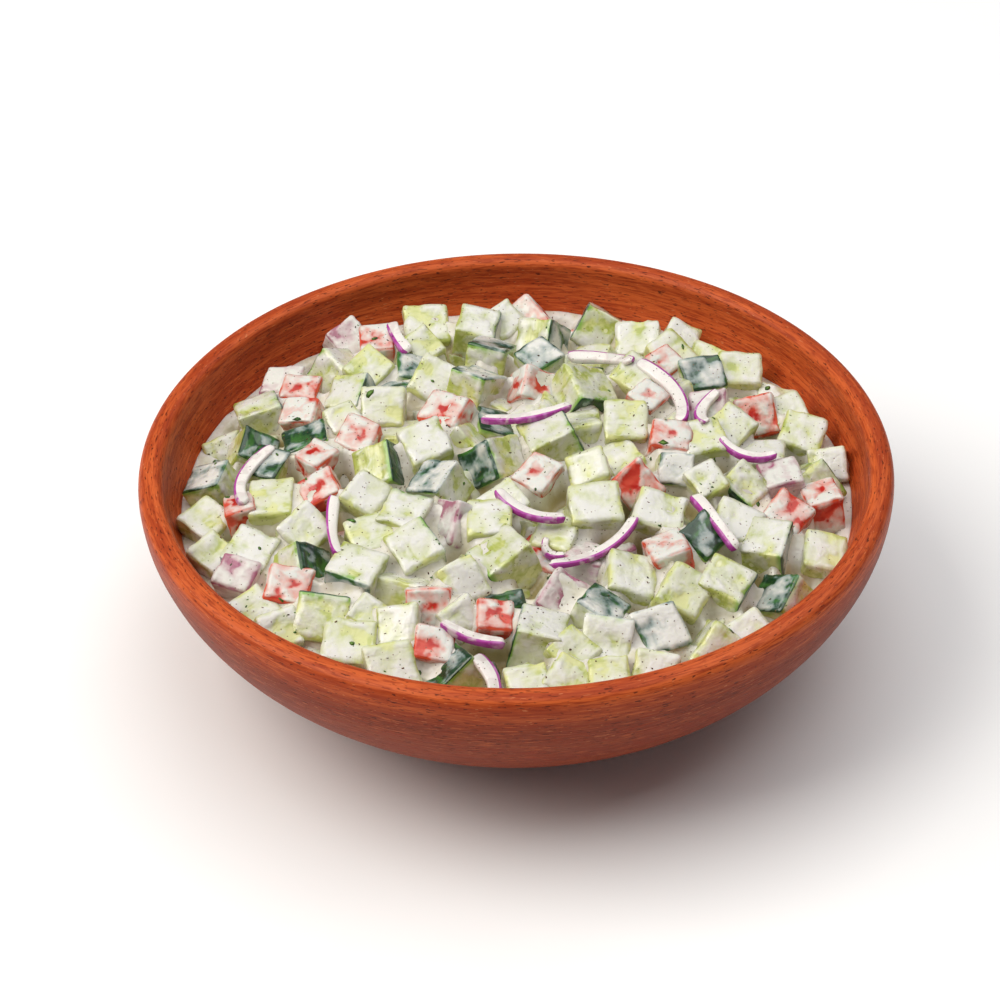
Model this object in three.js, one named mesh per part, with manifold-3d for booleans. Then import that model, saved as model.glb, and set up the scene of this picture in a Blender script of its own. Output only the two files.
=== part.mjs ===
// A turned wooden bowl filled with a creamy cucumber salad: diced cucumber and tomato with slices
// of red onion, heaped up in a white dressing.
//
// Millimetres, +Z up. The origin is the centre of the foot, on the surface that the bowl stands on.
// +X is to the right and -Y is the front.
//
// Two meshes: "bowl" is one turned solid, and "salad" is the heap, a core up to the level of the
// dressing with the dice and the onion slices that show fused on.

import * as THREE from "three";
import { mergeVertices } from "three/addons/utils/BufferGeometryUtils.js";
import Module from "manifold-3d";

const wasm = await Module();
wasm.setup();

// ---- Driving dimensions of the bowl ----

const RIM_RADIUS = 100;        // outside of the rim
const BOWL_HEIGHT = 58;        // foot to the top of the rim
const FOOT_RADIUS = 50.5;      // flat underside
const WALL = 6.7;              // wall at the rim
const RIM_ROUND_OUT = 4.2;     // outer rounding of the rim
const RIM_ROUND_IN = WALL - RIM_ROUND_OUT;
const RIM_POWER = 3;           // how square the outer rounding is: 2 is a quarter circle
const FLOOR = 8;               // wood under the salad
const OUTER_POWER = 1.82;      // how full the outside curve is: 2 is an ellipse
const INNER_POWER = 1.95;
const TURNS = 64;              // facets round the bowl, a multiple of four

// ---- Driving dimensions of the salad ----

const GAP = 0.3;               // between the heap and the wood
const HEAP_EDGE_RADIUS = 90;   // where the heap meets the wall
const HEAP_EDGE = 49;          // height of the tops of the dice at the wall
const HEAP_CROWN = 61;         // and in the middle
const DRESSING_DROP = 6.5;     // dressing level below the tops of the dice
const DIE = 11.8;              // edge of a typical scattered die
const DIE_SPREAD = 1.4;        // how much the edges of the scattered dice vary
const DIE_TILT = 50;           // how far their first faces lean at most
const LEAST_DROP = 3;          // how far they lie below the tops of the others
const DROP_SPREAD = 3.5;       // and how much more at most
const DIE_SPACING = 10.8;      // least distance from a scattered die to its neighbours
const DIE_LIMIT = 84;          // no scattered die's centre lies further out
const ONION_LIFT = -0.2;       // middle of an onion slice above the tops of the dice
const SEED = 20;               // of the scattered dice

const INNER_RADIUS = RIM_RADIUS - WALL;
const INNER_TOP = BOWL_HEIGHT - RIM_ROUND_IN;
const INNER_DEPTH = INNER_TOP - FLOOR;
const OUTER_TOP = BOWL_HEIGHT - RIM_ROUND_OUT;
const OUTER_DEPTH = OUTER_TOP / (1 - (FOOT_RADIUS / RIM_RADIUS) ** OUTER_POWER) ** (1 / OUTER_POWER);

// ---- Pieces that are told apart in the heap, seen from the front ----
//
// A die is [x, y, facing, rise, spin, size]. Its first face looks towards `facing` (0 is the front,
// 90 the right) and `rise` degrees above level, and the die is then spun about that face. On a
// skin-on die the first face is the skin.

const SKIN_DICE = [
  [-55, 12, -95, 70, 15, 11.5], [-81, 1, -100, 65, -5, 11], [-45, 36, 70, 15, 20, 11],
  [-66, 3, -35, 75, 10, 10], [-69, -31, -25, -10, -10, 12], [-55, -37, 80, 45, 25, 11],
  [-41, -43, -25, -5, -5, 12.5], [52, 46, 20, 60, -5, 11], [7, 48, -10, 75, 50, 10],
  [42, -4, 15, 55, -15, 9.5], [59, -8, -35, -5, 60, 11], [47, -31, 35, 60, 15, 10],
  [20, -59, 85, 70, 65, 10.5], [34, -63, 30, 60, -5, 12], [68, -48, -85, 55, 50, 11.5],
  [-15, -76, -90, 55, 30, 12], [-20, -11, -80, 65, 50, 11], [-6, 1, -45, 20, 45, 12],
  [-35, 0, 80, 30, 35, 12.5], [-11, 36, 145, 65, 0, 12], [79, -1, 130, 15, 45, 12],
  [52, -47, 65, -15, 5, 12.5], [5, -66, -100, 10, 5, 12.5], [-3, -40, -55, -20, 5, 13],
  [-26, -35, 120, 15, 20, 12], [10, 9, 110, 20, 0, 13], [18, 33, 20, -15, 65, 13],
  [-7, 52, 150, 70, 10, 11], [-11, 71, 80, -10, 5, 11.5], [24, 79, -110, 25, 35, 12],
  [-70, 31, 105, 10, -10, 12], [-72, 14, 60, 55, 25, 11], [-49, -55, 170, 35, 5, 12.5],
  [65, -31, 70, 5, 10, 12], [-29, -25, 160, 5, 5, 12], [-50, 53, -140, 15, 30, 11.5],
  [22, -67, 165, 35, 5, 12], [8, 66, 60, 15, 45, 11.5],
];

const TOMATO_DICE = [
  [5, 81, -30, 50, 60, 11], [5, 36, 50, 45, 40, 10.5], [-18, 21, -45, 70, 15, 11],
  [6, -9, -15, 70, 70, 10.5], [41, 9, 40, 70, 45, 10.5], [32, -10, 0, 40, 40, 10.5],
  [67, 29, -10, 50, 20, 11.5], [70, -19, 35, 70, 20, 11], [81, -11, -110, 80, 30, 10],
  [-58, -45, 15, 70, 65, 10.5], [-51, -10, -45, 70, 65, 10], [-53, 3, 0, 85, 50, 9.5],
  [-42, 11, -10, 75, 75, 10.5], [-58, 27, -45, 70, 30, 9.5], [-60, 39, 20, 80, 60, 9.5],
  [-39, 63, 0, 85, 5, 10.5], [-22, -54, 0, 35, 0, 11.5], [-6, -62, 30, 75, 60, 9.5],
  [-21, -69, 10, 65, 70, 9], [39, -38, -120, 80, 50, 11], [-72, -14, -85, 75, 5, 8.5],
  [36, 28, 20, 70, 30, 9], [42, 50, 10, 60, 30, 9],
];

const ONION_DICE = [
  [-65, 47, -25, 75, 15, 10.5], [-71, -39, -15, 70, 85, 10.5], [71, -3, -70, 80, 80, 10],
  [-15, -26, -65, 35, 30, 10.5], [-48, 71, 20, 60, 20, 11.5], [11, -52, 20, 50, 40, 11.5],
  [54, 27, -20, 60, 20, 10],
];

const FLESH_DICE = [
  [-64, -12, -20, 75, 20, 12.5], [-82, -14, 20, 70, 30, 11.5], [-42, -67, 25, 75, 60, 12.5],
  [27, -46, 60, 65, 30, 13], [20, -22, 15, 75, 80, 12.5], [30, 16, 0, 70, 0, 12],
  [63, 50, 20, 70, 70, 12], [78, 20, 10, 70, 60, 11.5], [79, -31, 20, 70, 60, 11.5],
  [-36, 26, 0, 60, 0, 11.5], [-7, -28, 0, 75, 0, 12], [50, -66, 10, 40, 45, 12.5],
  [-40, -14, 30, 65, 30, 11], [-23, 40, 20, 60, 45, 12.5], [36, -23, 40, 70, 40, 11.5],
  [-41, 49, 10, 70, 40, 11.5], [-24, 5, 10, 75, 15, 12], [20, -6, -30, 60, 40, 11],
  [-14, -47, 10, 50, 20, 11], [-14, -59, 10, 40, 30, 10], [13, -71, 20, 60, 30, 10],
  [2, -82, 0, 70, 10, 11], [12, -80, 30, 65, 35, 11], [22, -79, 0, 70, 5, 10],
  [33, -76, 0, 60, -10, 12], [41, -50, 30, 60, 35, 12], [57, -62, 20, 60, 20, 11],
  [56, -24, 30, 70, 40, 12], [50, -10, 10, 70, 20, 9], [50, 10, 5, 75, 10, 12],
  [58, 18, 20, 65, 30, 11], [44, 59, 20, 60, 25, 12], [36, 66, -25, 60, 20, 11],
  [47, 68, 30, 60, 40, 10], [33, 41, 20, 70, 35, 12], [75, 30, 0, 70, 20, 10],
  [85, 9, -20, 50, 20, 10], [-25, 76, 0, 70, 5, 13], [-26, 61, 10, 60, 30, 10],
  [-3, 77, 10, 60, 30, 10], [-37, -31, 0, 75, 20, 12], [-55, -24, 20, 60, 30, 11],
  [-79, -28, 20, 60, 30, 10], [-67, -51, 20, 60, 25, 11], [-60, -59, 10, 60, 10, 10],
  [-37, -58, 30, 65, 30, 10], [-29, -62, -20, 60, 20, 10], [-31, -74, 10, 60, 5, 12],
  [-47, 20, 10, 70, 20, 9],
];

// An onion slice is [x, y, facing, radius, arc, width, height]: the middle of the slice, where its
// outer side looks, the radius and the angle of that outer side, the slice's width and its height.

const ONION_SLICES = [
  [2, -29, -25, 20, 64, 3.4, 2.2], [23, -41, 40, 31, 60, 3.6, 2], [-12, -71, -20, 26, 40, 3.2, 2.4],
  [49, -28, -65, 80, 17, 3.2, 2.2], [-5, -80, 115, 14, 56, 4, 2.2], [26, 50, 155, 16, 85, 3.6, 2],
  [3, 11, 0, 24, 66, 3, 2.2], [46, 31, 110, 27, 75, 4, 2.2], [61, 1, -20, 14, 76, 2.6, 2],
  [49, 21, -105, 14, 84, 3.2, 2], [-74, -3, -105, 20, 84, 3.6, 2], [-49, -29, -85, 54, 26, 3, 2.2],
  [-35, 61, -70, 38, 24, 3.4, 2.2], [7, -38, -60, 6, 120, 2, 2.2],
];

// ---- Helpers ----

// Height of the tops of the dice at a distance from the axis.
function heapHeight(radius) {
  return HEAP_EDGE + (HEAP_CROWN - HEAP_EDGE) * (1 - (radius / HEAP_EDGE_RADIUS) ** 2);
}

// A repeatable sequence of numbers from 0 to 1.
function makeRandom(seed) {
  let state = seed >>> 0;
  return () => {
    state = (state + 0x6d2b79f5) >>> 0;
    let mixed = Math.imul(state ^ (state >>> 15), state | 1);
    mixed ^= mixed + Math.imul(mixed ^ (mixed >>> 7), mixed | 61);
    return ((mixed ^ (mixed >>> 14)) >>> 0) / 4294967296;
  };
}

// A quarter of a superellipse, from its widest point down to the axis side, in equal turns.
function fullCurve(radius, depth, power, top, startTurn, endTurn, steps) {
  const points = [];
  for (let step = 0; step <= steps; step += 1) {
    const turn = startTurn + ((endTurn - startTurn) * step) / steps;
    const across = radius * Math.cos(turn) ** (2 / power);
    const down = depth * Math.sin(turn) ** (2 / power);
    points.push(new THREE.Vector2(Math.max(across, 0), top - down));
  }
  return points;
}

// Points of a rounding about a centre in the profile's plane, angles in degrees. A power of 2 makes
// an arc, and a higher one a squarer corner.
function rounding(centreR, centreZ, radius, power, fromDeg, toDeg, steps) {
  const points = [];
  const swell = (value) => radius * Math.sign(value) * Math.abs(value) ** (2 / power);
  for (let step = 0; step <= steps; step += 1) {
    const angle = THREE.MathUtils.degToRad(fromDeg + ((toDeg - fromDeg) * step) / steps);
    points.push(new THREE.Vector2(centreR + swell(Math.cos(angle)), centreZ + swell(Math.sin(angle))));
  }
  return points;
}

// A profile of (radius, height) points turned about the Z axis into a closed body.
function turned(profile) {
  const geometry = new THREE.LatheGeometry(profile, TURNS);
  return geometry.rotateX(Math.PI / 2);
}

// A three.js geometry as a solid for cutting and joining.
function toSolid(geometry) {
  const bare = new THREE.BufferGeometry();
  bare.setAttribute("position", geometry.getAttribute("position").clone());
  if (geometry.index) bare.setIndex(geometry.index.clone());
  const merged = mergeVertices(bare, 1e-4);
  const corners = Array.from(merged.index.array);
  const triVerts = corners.filter((_, at) => {
    const [a, b, c] = corners.slice(at - (at % 3), at - (at % 3) + 3);
    return a !== b && b !== c && c !== a;
  });
  return new wasm.Manifold(new wasm.Mesh({
    numProp: 3,
    vertProperties: new Float32Array(merged.getAttribute("position").array),
    triVerts: new Uint32Array(triVerts),
  }));
}

// The outer shell of a solid as a geometry: loose scraps and sealed hollows have shells of their
// own, and all but the largest shell are dropped.
function outerShell(solid) {
  const mesh = solid.getMesh();
  const owner = Array.from({ length: mesh.numVert }, (_, at) => at);
  const find = (at) => {
    let root = at;
    while (owner[root] !== root) root = owner[root];
    owner[at] = root;
    return root;
  };
  for (let at = 0; at < mesh.triVerts.length; at += 3) {
    const root = find(mesh.triVerts[at]);
    owner[find(mesh.triVerts[at + 1])] = root;
    owner[find(mesh.triVerts[at + 2])] = root;
  }
  const shells = new Map();
  const corner = (at) => new THREE.Vector3().fromArray(mesh.vertProperties, mesh.triVerts[at] * mesh.numProp);
  for (let at = 0; at < mesh.triVerts.length; at += 3) {
    const root = find(mesh.triVerts[at]);
    if (!shells.has(root)) shells.set(root, { volume: 0, corners: [] });
    const shell = shells.get(root);
    shell.volume += corner(at).dot(corner(at + 1).cross(corner(at + 2))) / 6;
    shell.corners.push(...mesh.triVerts.slice(at, at + 3));
  }
  const largest = [...shells.values()].reduce((best, shell) => (shell.volume > best.volume ? shell : best));
  const geometry = new THREE.BufferGeometry();
  geometry.setAttribute("position", new THREE.BufferAttribute(new Float32Array(mesh.vertProperties), 3));
  geometry.setIndex(largest.corners);
  return geometry.toNonIndexed();
}

// ---- Bowl ----

// The turned solid: foot, outside, rounded rim and inside.
function bowlGeometry() {
  const footTurn = Math.acos((FOOT_RADIUS / RIM_RADIUS) ** (OUTER_POWER / 2));
  const outside = fullCurve(RIM_RADIUS, OUTER_DEPTH, OUTER_POWER, OUTER_TOP, footTurn, 0, 11);
  outside[0].y = 0;
  const rimCentre = RIM_RADIUS - RIM_ROUND_OUT;
  const profile = [
    new THREE.Vector2(0, 0),
    ...outside,
    ...rounding(rimCentre, OUTER_TOP, RIM_ROUND_OUT, RIM_POWER, 0, 90, 4).slice(1),
    ...rounding(rimCentre, INNER_TOP, RIM_ROUND_IN, 2, 90, 180, 2).slice(1),
    ...fullCurve(INNER_RADIUS, INNER_DEPTH, INNER_POWER, INNER_TOP, 0, Math.PI / 2, 10).slice(1),
  ];
  profile[profile.length - 1].x = 0;
  return turned(profile);
}

// ---- Salad ----

// The room that the salad may fill: the inside of the bowl less the gap, carried straight up.
function roomProfile(top) {
  const inside = fullCurve(
    INNER_RADIUS - GAP, INNER_DEPTH - GAP, INNER_POWER, INNER_TOP, Math.PI / 2, 0, 10);
  inside[0].x = 0;
  return [...inside, ...top];
}

// The heap without its pieces: the room up to the level of the dressing, a shallow dome.
function coreGeometry() {
  const steps = 6;
  const level = (radius) => heapHeight(radius) - DRESSING_DROP;
  const reach = (height) => {
    const share = ((INNER_TOP - height) / (INNER_DEPTH - GAP)) ** INNER_POWER;
    return (INNER_RADIUS - GAP) * (1 - share) ** (1 / INNER_POWER);
  };
  const edge = reach(level(HEAP_EDGE_RADIUS - 1));
  const dome = [];
  for (let step = 0; step <= steps; step += 1) {
    const radius = (edge * (steps - step)) / steps;
    dome.push(new THREE.Vector2(radius, level(radius)));
  }
  const wall = roomProfile([]).filter((point) => point.y < level(edge) - 1);
  return turned([...wall, ...dome]);
}

// Turns an upright shape so that its +Z looks towards `facing` and `rise`, after a spin about +Z.
function pose(geometry, facing, rise, spin) {
  const toRadians = THREE.MathUtils.degToRad;
  geometry.rotateZ(toRadians(spin));
  geometry.rotateX(toRadians(90 - rise));
  geometry.rotateZ(toRadians(facing));
  return geometry;
}

// One die with its highest corner near the tops of the dice around it, less a drop of its own.
function die([x, y, facing, rise, spin, size, drop = 0]) {
  const cube = pose(new THREE.BoxGeometry(size, size, size), facing, rise, spin);
  cube.computeBoundingBox();
  const sink = (cube.boundingBox.max.z + size / 2) / 2 + drop;
  return cube.translate(x, y, heapHeight(Math.hypot(x, y)) - sink);
}

// One slice of red onion: a piece of a flat ring, lying level.
function onionSlice([x, y, facing, radius, sweep, width, height]) {
  const half = THREE.MathUtils.degToRad(sweep) / 2;
  const outline = new THREE.Shape();
  outline.absarc(0, 0, radius, -half, half, false);
  outline.absarc(0, 0, radius - width, half, -half, true);
  const slice = new THREE.ExtrudeGeometry(outline, { depth: height, bevelEnabled: false, curveSegments: 5 });
  slice.translate(-radius, 0, -height / 2);
  slice.rotateZ(THREE.MathUtils.degToRad(facing - 90));
  return slice.translate(x, y, heapHeight(Math.hypot(x, y)) + ONION_LIFT);
}

// Dice between the ones that are told apart: dropped at random and kept where there is room.
function scatteredDice(taken) {
  const random = makeRandom(SEED);
  const kept = [];
  const tries = 4000;
  for (let attempt = 0; attempt < tries; attempt += 1) {
    const distance = DIE_LIMIT * Math.sqrt(random());
    const bearing = 2 * Math.PI * random();
    const facing = 360 * random();
    const rise = 90 - DIE_TILT * random();
    const spin = 90 * random();
    const size = DIE + DIE_SPREAD * (2 * random() - 1);
    const drop = LEAST_DROP + DROP_SPREAD * random();
    const x = distance * Math.cos(bearing);
    const y = distance * Math.sin(bearing);
    const free = (other) => Math.hypot(other[0] - x, other[1] - y) > DIE_SPACING;
    if (taken.every(free) && kept.every(free)) kept.push([x, y, facing, rise, spin, size, drop]);
  }
  return kept;
}

// The whole heap: core, dice and onion slices, kept inside the bowl's room.
function saladGeometry() {
  const placed = [...SKIN_DICE, ...TOMATO_DICE, ...ONION_DICE, ...FLESH_DICE];
  const dice = [...placed, ...scatteredDice(placed)];
  const pieces = [...dice.map(die), ...ONION_SLICES.map(onionSlice)];
  const above = BOWL_HEIGHT + 2 * DIE;
  const room = turned(roomProfile([
    new THREE.Vector2(INNER_RADIUS - GAP, above),
    new THREE.Vector2(0, above),
  ]));
  const heap = pieces.reduce((solid, piece) => solid.add(toSolid(piece)), toSolid(coreGeometry()));
  return outerShell(heap.intersect(toSolid(room)));
}

// ---- The object ----

// A named mesh with a finish of its own.
function part(name, geometry, color, roughness) {
  const material = new THREE.MeshStandardMaterial({ color, roughness, metalness: 0 });
  const mesh = new THREE.Mesh(geometry, material);
  mesh.name = name;
  return mesh;
}

const saladBowl = new THREE.Group();
saladBowl.add(part("bowl", bowlGeometry(), 0xa84e2c, 0.45));
saladBowl.add(part("salad", saladGeometry(), 0xdcdfc4, 0.35));

export default saladBowl;
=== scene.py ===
"""Looks of a turned wooden bowl filled with a creamy cucumber salad.

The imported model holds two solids, the bowl and the heap of salad. Here the bowl becomes a finely
turned piece of reddish wood, and the heap becomes its real pieces: cucumber, tomato and onion dice,
slices of red onion, the white dressing between and on them, herb flecks and pepper. Shapes are
worked out in millimetres and put into the meshes in metres, in the model's own frame.
"""

import logging
import math
from collections.abc import Callable
from dataclasses import dataclass, field
from enum import Enum

import bpy
import numpy as np
from mathutils import Matrix, Vector


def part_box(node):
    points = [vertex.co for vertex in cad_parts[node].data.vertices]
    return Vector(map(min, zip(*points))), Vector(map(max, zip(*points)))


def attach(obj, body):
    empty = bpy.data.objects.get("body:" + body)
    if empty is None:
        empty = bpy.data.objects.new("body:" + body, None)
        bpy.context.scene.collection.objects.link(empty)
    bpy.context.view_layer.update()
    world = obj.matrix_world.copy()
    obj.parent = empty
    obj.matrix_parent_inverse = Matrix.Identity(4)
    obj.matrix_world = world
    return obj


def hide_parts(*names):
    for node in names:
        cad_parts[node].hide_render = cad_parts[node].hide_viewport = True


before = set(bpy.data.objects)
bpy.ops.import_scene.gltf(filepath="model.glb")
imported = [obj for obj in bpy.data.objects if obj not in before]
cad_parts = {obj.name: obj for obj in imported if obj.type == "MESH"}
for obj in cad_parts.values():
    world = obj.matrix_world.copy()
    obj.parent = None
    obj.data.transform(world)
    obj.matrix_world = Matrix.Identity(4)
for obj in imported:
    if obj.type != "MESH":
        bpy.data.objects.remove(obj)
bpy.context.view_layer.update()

LOG = logging.getLogger("salad_bowl")
MM = 0.001
BROWN_SPICE = (112, 78, 52)
GREEN_SPICE = (98, 112, 60)
Triple = tuple[float, float, float]
Rgb = Triple


# ---- Numbers that repeat, noise and colours ----

def make_random(seed: int) -> Callable[[], float]:
    """A repeatable sequence of numbers from 0 to 1.

    Args:
        seed: where the sequence starts.

    Returns:
        A function that gives the next number at each call.
    """
    state = seed & 0xFFFFFFFF

    def draw() -> float:
        """Moves the state on and mixes its bits.

        Returns:
            The next number.
        """
        nonlocal state
        state = (state + 0x6D2B79F5) & 0xFFFFFFFF
        mixed = ((state ^ (state >> 15)) * (state | 1)) & 0xFFFFFFFF
        mixed ^= (mixed + (mixed ^ (mixed >> 7)) * (mixed | 61)) & 0xFFFFFFFF
        return ((mixed ^ (mixed >> 14)) & 0xFFFFFFFF) / 4294967296

    return draw


def lattice_noise(points: np.ndarray, seed: int) -> np.ndarray:
    """Smooth noise between -1 and 1: random values at whole coordinates, blended between them.

    Args:
        points: coordinates, the last axis holding x, y and z.
        seed: chooses the pattern.

    Returns:
        One value for each point.
    """
    cell = np.floor(points).astype(np.int64)
    part = points - cell
    part = part * part * (3 - 2 * part)
    total = np.zeros(points.shape[:-1])
    for corner in range(8):
        step = np.array([corner & 1, (corner >> 1) & 1, (corner >> 2) & 1])
        at = cell + step
        mixed = (at[..., 0] * 73856093) ^ (at[..., 1] * 19349663) ^ (at[..., 2] * 83492791)
        mixed = (mixed ^ (seed * 2654435761)) & 0xFFFFFFFF
        mixed = ((mixed ^ (mixed >> 13)) * 1274126177) & 0xFFFFFFFF
        mixed ^= mixed >> 16
        weight = np.prod(np.where(step == 1, part, 1 - part), axis=-1)
        total += weight * ((mixed & 0xFFFF) / 32767.5 - 1)
    return total


def fractal_noise(points: np.ndarray, seed: int, octaves: int = 3) -> np.ndarray:
    """Lattice noise summed over octaves, each twice as fine and half as strong."""
    layers = [lattice_noise(points * 2 ** n, seed + n) / 2 ** n for n in range(octaves)]
    return np.sum(layers, axis=0) / (2 - 2.0 ** (1 - octaves))


def smooth_step(value: np.ndarray, low: float, high: float) -> np.ndarray:
    """0 below low, 1 above high and an S-shaped rise between them."""
    share = np.clip((value - low) / (high - low), 0, 1)
    return share * share * (3 - 2 * share)


def linear(color: Rgb) -> tuple[float, float, float, float]:
    """A screen colour of 0 to 255 as the linear colour that shaders take."""
    parts = [part / 255 for part in color]
    return (*[p / 12.92 if p <= 0.04045 else ((p + 0.055) / 1.055) ** 2.4 for p in parts], 1.0)


# ---- Meshes ----

def make_piece(
    name: str,
    points: np.ndarray,
    faces: list[np.ndarray],
    attributes: dict[str, np.ndarray] | None = None,
) -> bpy.types.Object:
    """Puts arrays into a new smooth mesh object at the origin.

    Args:
        name: the piece's name.
        points: vertices in millimetres, one row each.
        faces: arrays of vertex numbers, one row a face, all faces of an array with as many corners.
        attributes: vectors of three numbers for each vertex, by name.

    Returns:
        The object, linked to the scene.
    """
    mesh = bpy.data.meshes.new(name)
    mesh.vertices.add(len(points))
    mesh.vertices.foreach_set("co", (points * MM).astype(np.float32).ravel())
    corners = np.concatenate([part.ravel() for part in faces]).astype(np.int32)
    sizes = np.concatenate([np.full(len(part), part.shape[1]) for part in faces])
    starts = np.concatenate([[0], np.cumsum(sizes)[:-1]]).astype(np.int32)
    mesh.loops.add(len(corners))
    mesh.loops.foreach_set("vertex_index", corners)
    mesh.polygons.add(len(sizes))
    mesh.polygons.foreach_set("loop_start", starts)
    mesh.polygons.foreach_set("use_smooth", np.ones(len(sizes), bool))
    for key, values in (attributes or {}).items():
        layer = mesh.attributes.new(key, "FLOAT_VECTOR", "POINT")
        layer.data.foreach_set("vector", values.astype(np.float32).ravel())
    mesh.update(calc_edges=True)
    mesh.validate()
    piece = bpy.data.objects.new(name, mesh)
    bpy.context.scene.collection.objects.link(piece)
    return piece


def tube_faces(rings: int, around: int) -> np.ndarray:
    """Quads between closed rings of points that follow each other.

    Args:
        rings: how many rings.
        around: how many points each has.

    Returns:
        One row of vertex numbers a quad.
    """
    ring, step = np.meshgrid(np.arange(rings - 1), np.arange(around), indexing="ij")
    after = (step + 1) % around
    quads = [ring * around + step, ring * around + after]
    quads += [(ring + 1) * around + after, (ring + 1) * around + step]
    return np.stack(quads, -1).reshape(-1, 4)


def grid_faces(cells: int) -> np.ndarray:
    """Quads of a square grid of points.

    Args:
        cells: how many quads lie along a side.

    Returns:
        One row of vertex numbers a quad.
    """
    i, j = np.meshgrid(np.arange(cells), np.arange(cells), indexing="ij")
    row = cells + 1
    quads = [i * row + j, (i + 1) * row + j, (i + 1) * row + j + 1, i * row + j + 1]
    return np.stack(quads, -1).reshape(-1, 4)


def fan_faces(ring: np.ndarray, pole: int) -> np.ndarray:
    """Triangles from each side of a closed ring of points to one point."""
    return np.stack([ring, np.roll(ring, -1), np.full(len(ring), pole)], -1)


def repeat_faces(faces: np.ndarray, vertices: int, copies: int) -> np.ndarray:
    """A template's faces for many copies whose vertices follow each other."""
    return (faces[None] + vertices * np.arange(copies)[:, None, None]).reshape(-1, faces.shape[1])


def turn_matrices(facing: np.ndarray, rise: np.ndarray, spin: np.ndarray) -> np.ndarray:
    """Rotations that take +Z to look towards `facing` and `rise`, after a spin about +Z.

    Args:
        facing: degrees, 0 towards the front (-Y) and 90 towards the right.
        rise: degrees above level.
        spin: degrees.

    Returns:
        One 3 by 3 matrix each: a turn about Z times a tip about X times a turn about Z.
    """
    def about_z(angle: np.ndarray) -> np.ndarray:
        """Turns about Z."""
        cos, sin, one, nil = np.cos(angle), np.sin(angle), np.ones_like(angle), np.zeros_like(angle)
        return np.stack([cos, -sin, nil, sin, cos, nil, nil, nil, one], -1).reshape(-1, 3, 3)

    tip = np.radians(90 - rise)
    cos, sin, one, nil = np.cos(tip), np.sin(tip), np.ones_like(tip), np.zeros_like(tip)
    about_x = np.stack([one, nil, nil, nil, cos, -sin, nil, sin, cos], -1).reshape(-1, 3, 3)
    return about_z(np.radians(facing)) @ about_x @ about_z(np.radians(spin))


# ---- Shader graph ----

class Value:
    """A number that varies over a surface: a socket that takes part in arithmetic."""

    def __init__(self, graph: "Graph", socket: bpy.types.NodeSocket) -> None:
        """Wraps a socket of a graph."""
        self.graph = graph
        self.socket = socket

    def _join(self, operation: str, left: object, right: object = None) -> "Value":
        """A Math node.

        Args:
            operation: its operation.
            left: a number or a Value.
            right: a second operand, where the operation takes one.

        Returns:
            The result.
        """
        operands = {0: left} if right is None else {0: left, 1: right}
        node = self.graph.node("ShaderNodeMath", {"operation": operation}, operands)
        return Value(self.graph, node.outputs[0])

    def __add__(self, other: object) -> "Value":
        """self + other."""
        return self._join("ADD", self, other)

    def __radd__(self, other: object) -> "Value":
        """other + self."""
        return self._join("ADD", other, self)

    def __sub__(self, other: object) -> "Value":
        """self - other."""
        return self._join("SUBTRACT", self, other)

    def __rsub__(self, other: object) -> "Value":
        """other - self."""
        return self._join("SUBTRACT", other, self)

    def __mul__(self, other: object) -> "Value":
        """self * other."""
        return self._join("MULTIPLY", self, other)

    def __rmul__(self, other: object) -> "Value":
        """other * self."""
        return self._join("MULTIPLY", other, self)

    def __abs__(self) -> "Value":
        """The size of the number without its sign."""
        return self._join("ABSOLUTE", self)

    def at_least(self, other: object) -> "Value":
        """The larger of the two."""
        return self._join("MAXIMUM", self, other)

    def at_most(self, other: object) -> "Value":
        """The smaller of the two."""
        return self._join("MINIMUM", self, other)

    def _rise(self, kind: str, low: float, high: float) -> "Value":
        """A rise from 0 to 1 by a Map Range node.

        Args:
            kind: the node's interpolation.
            low: where the rise starts.
            high: where it ends.

        Returns:
            The result.
        """
        settings = {"interpolation_type": kind, "clamp": True}
        node = self.graph.node("ShaderNodeMapRange", settings, {0: self, 1: low, 2: high, 3: 0.0, 4: 1.0})
        return Value(self.graph, node.outputs[0])

    def step(self, low: float, high: float) -> "Value":
        """0 below low, 1 above high and an S-shaped rise between them."""
        return self._rise("SMOOTHSTEP", low, high)

    def ramp(self, low: float, high: float) -> "Value":
        """0 below low, 1 above high and an even rise between them."""
        return self._rise("LINEAR", low, high)


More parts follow.
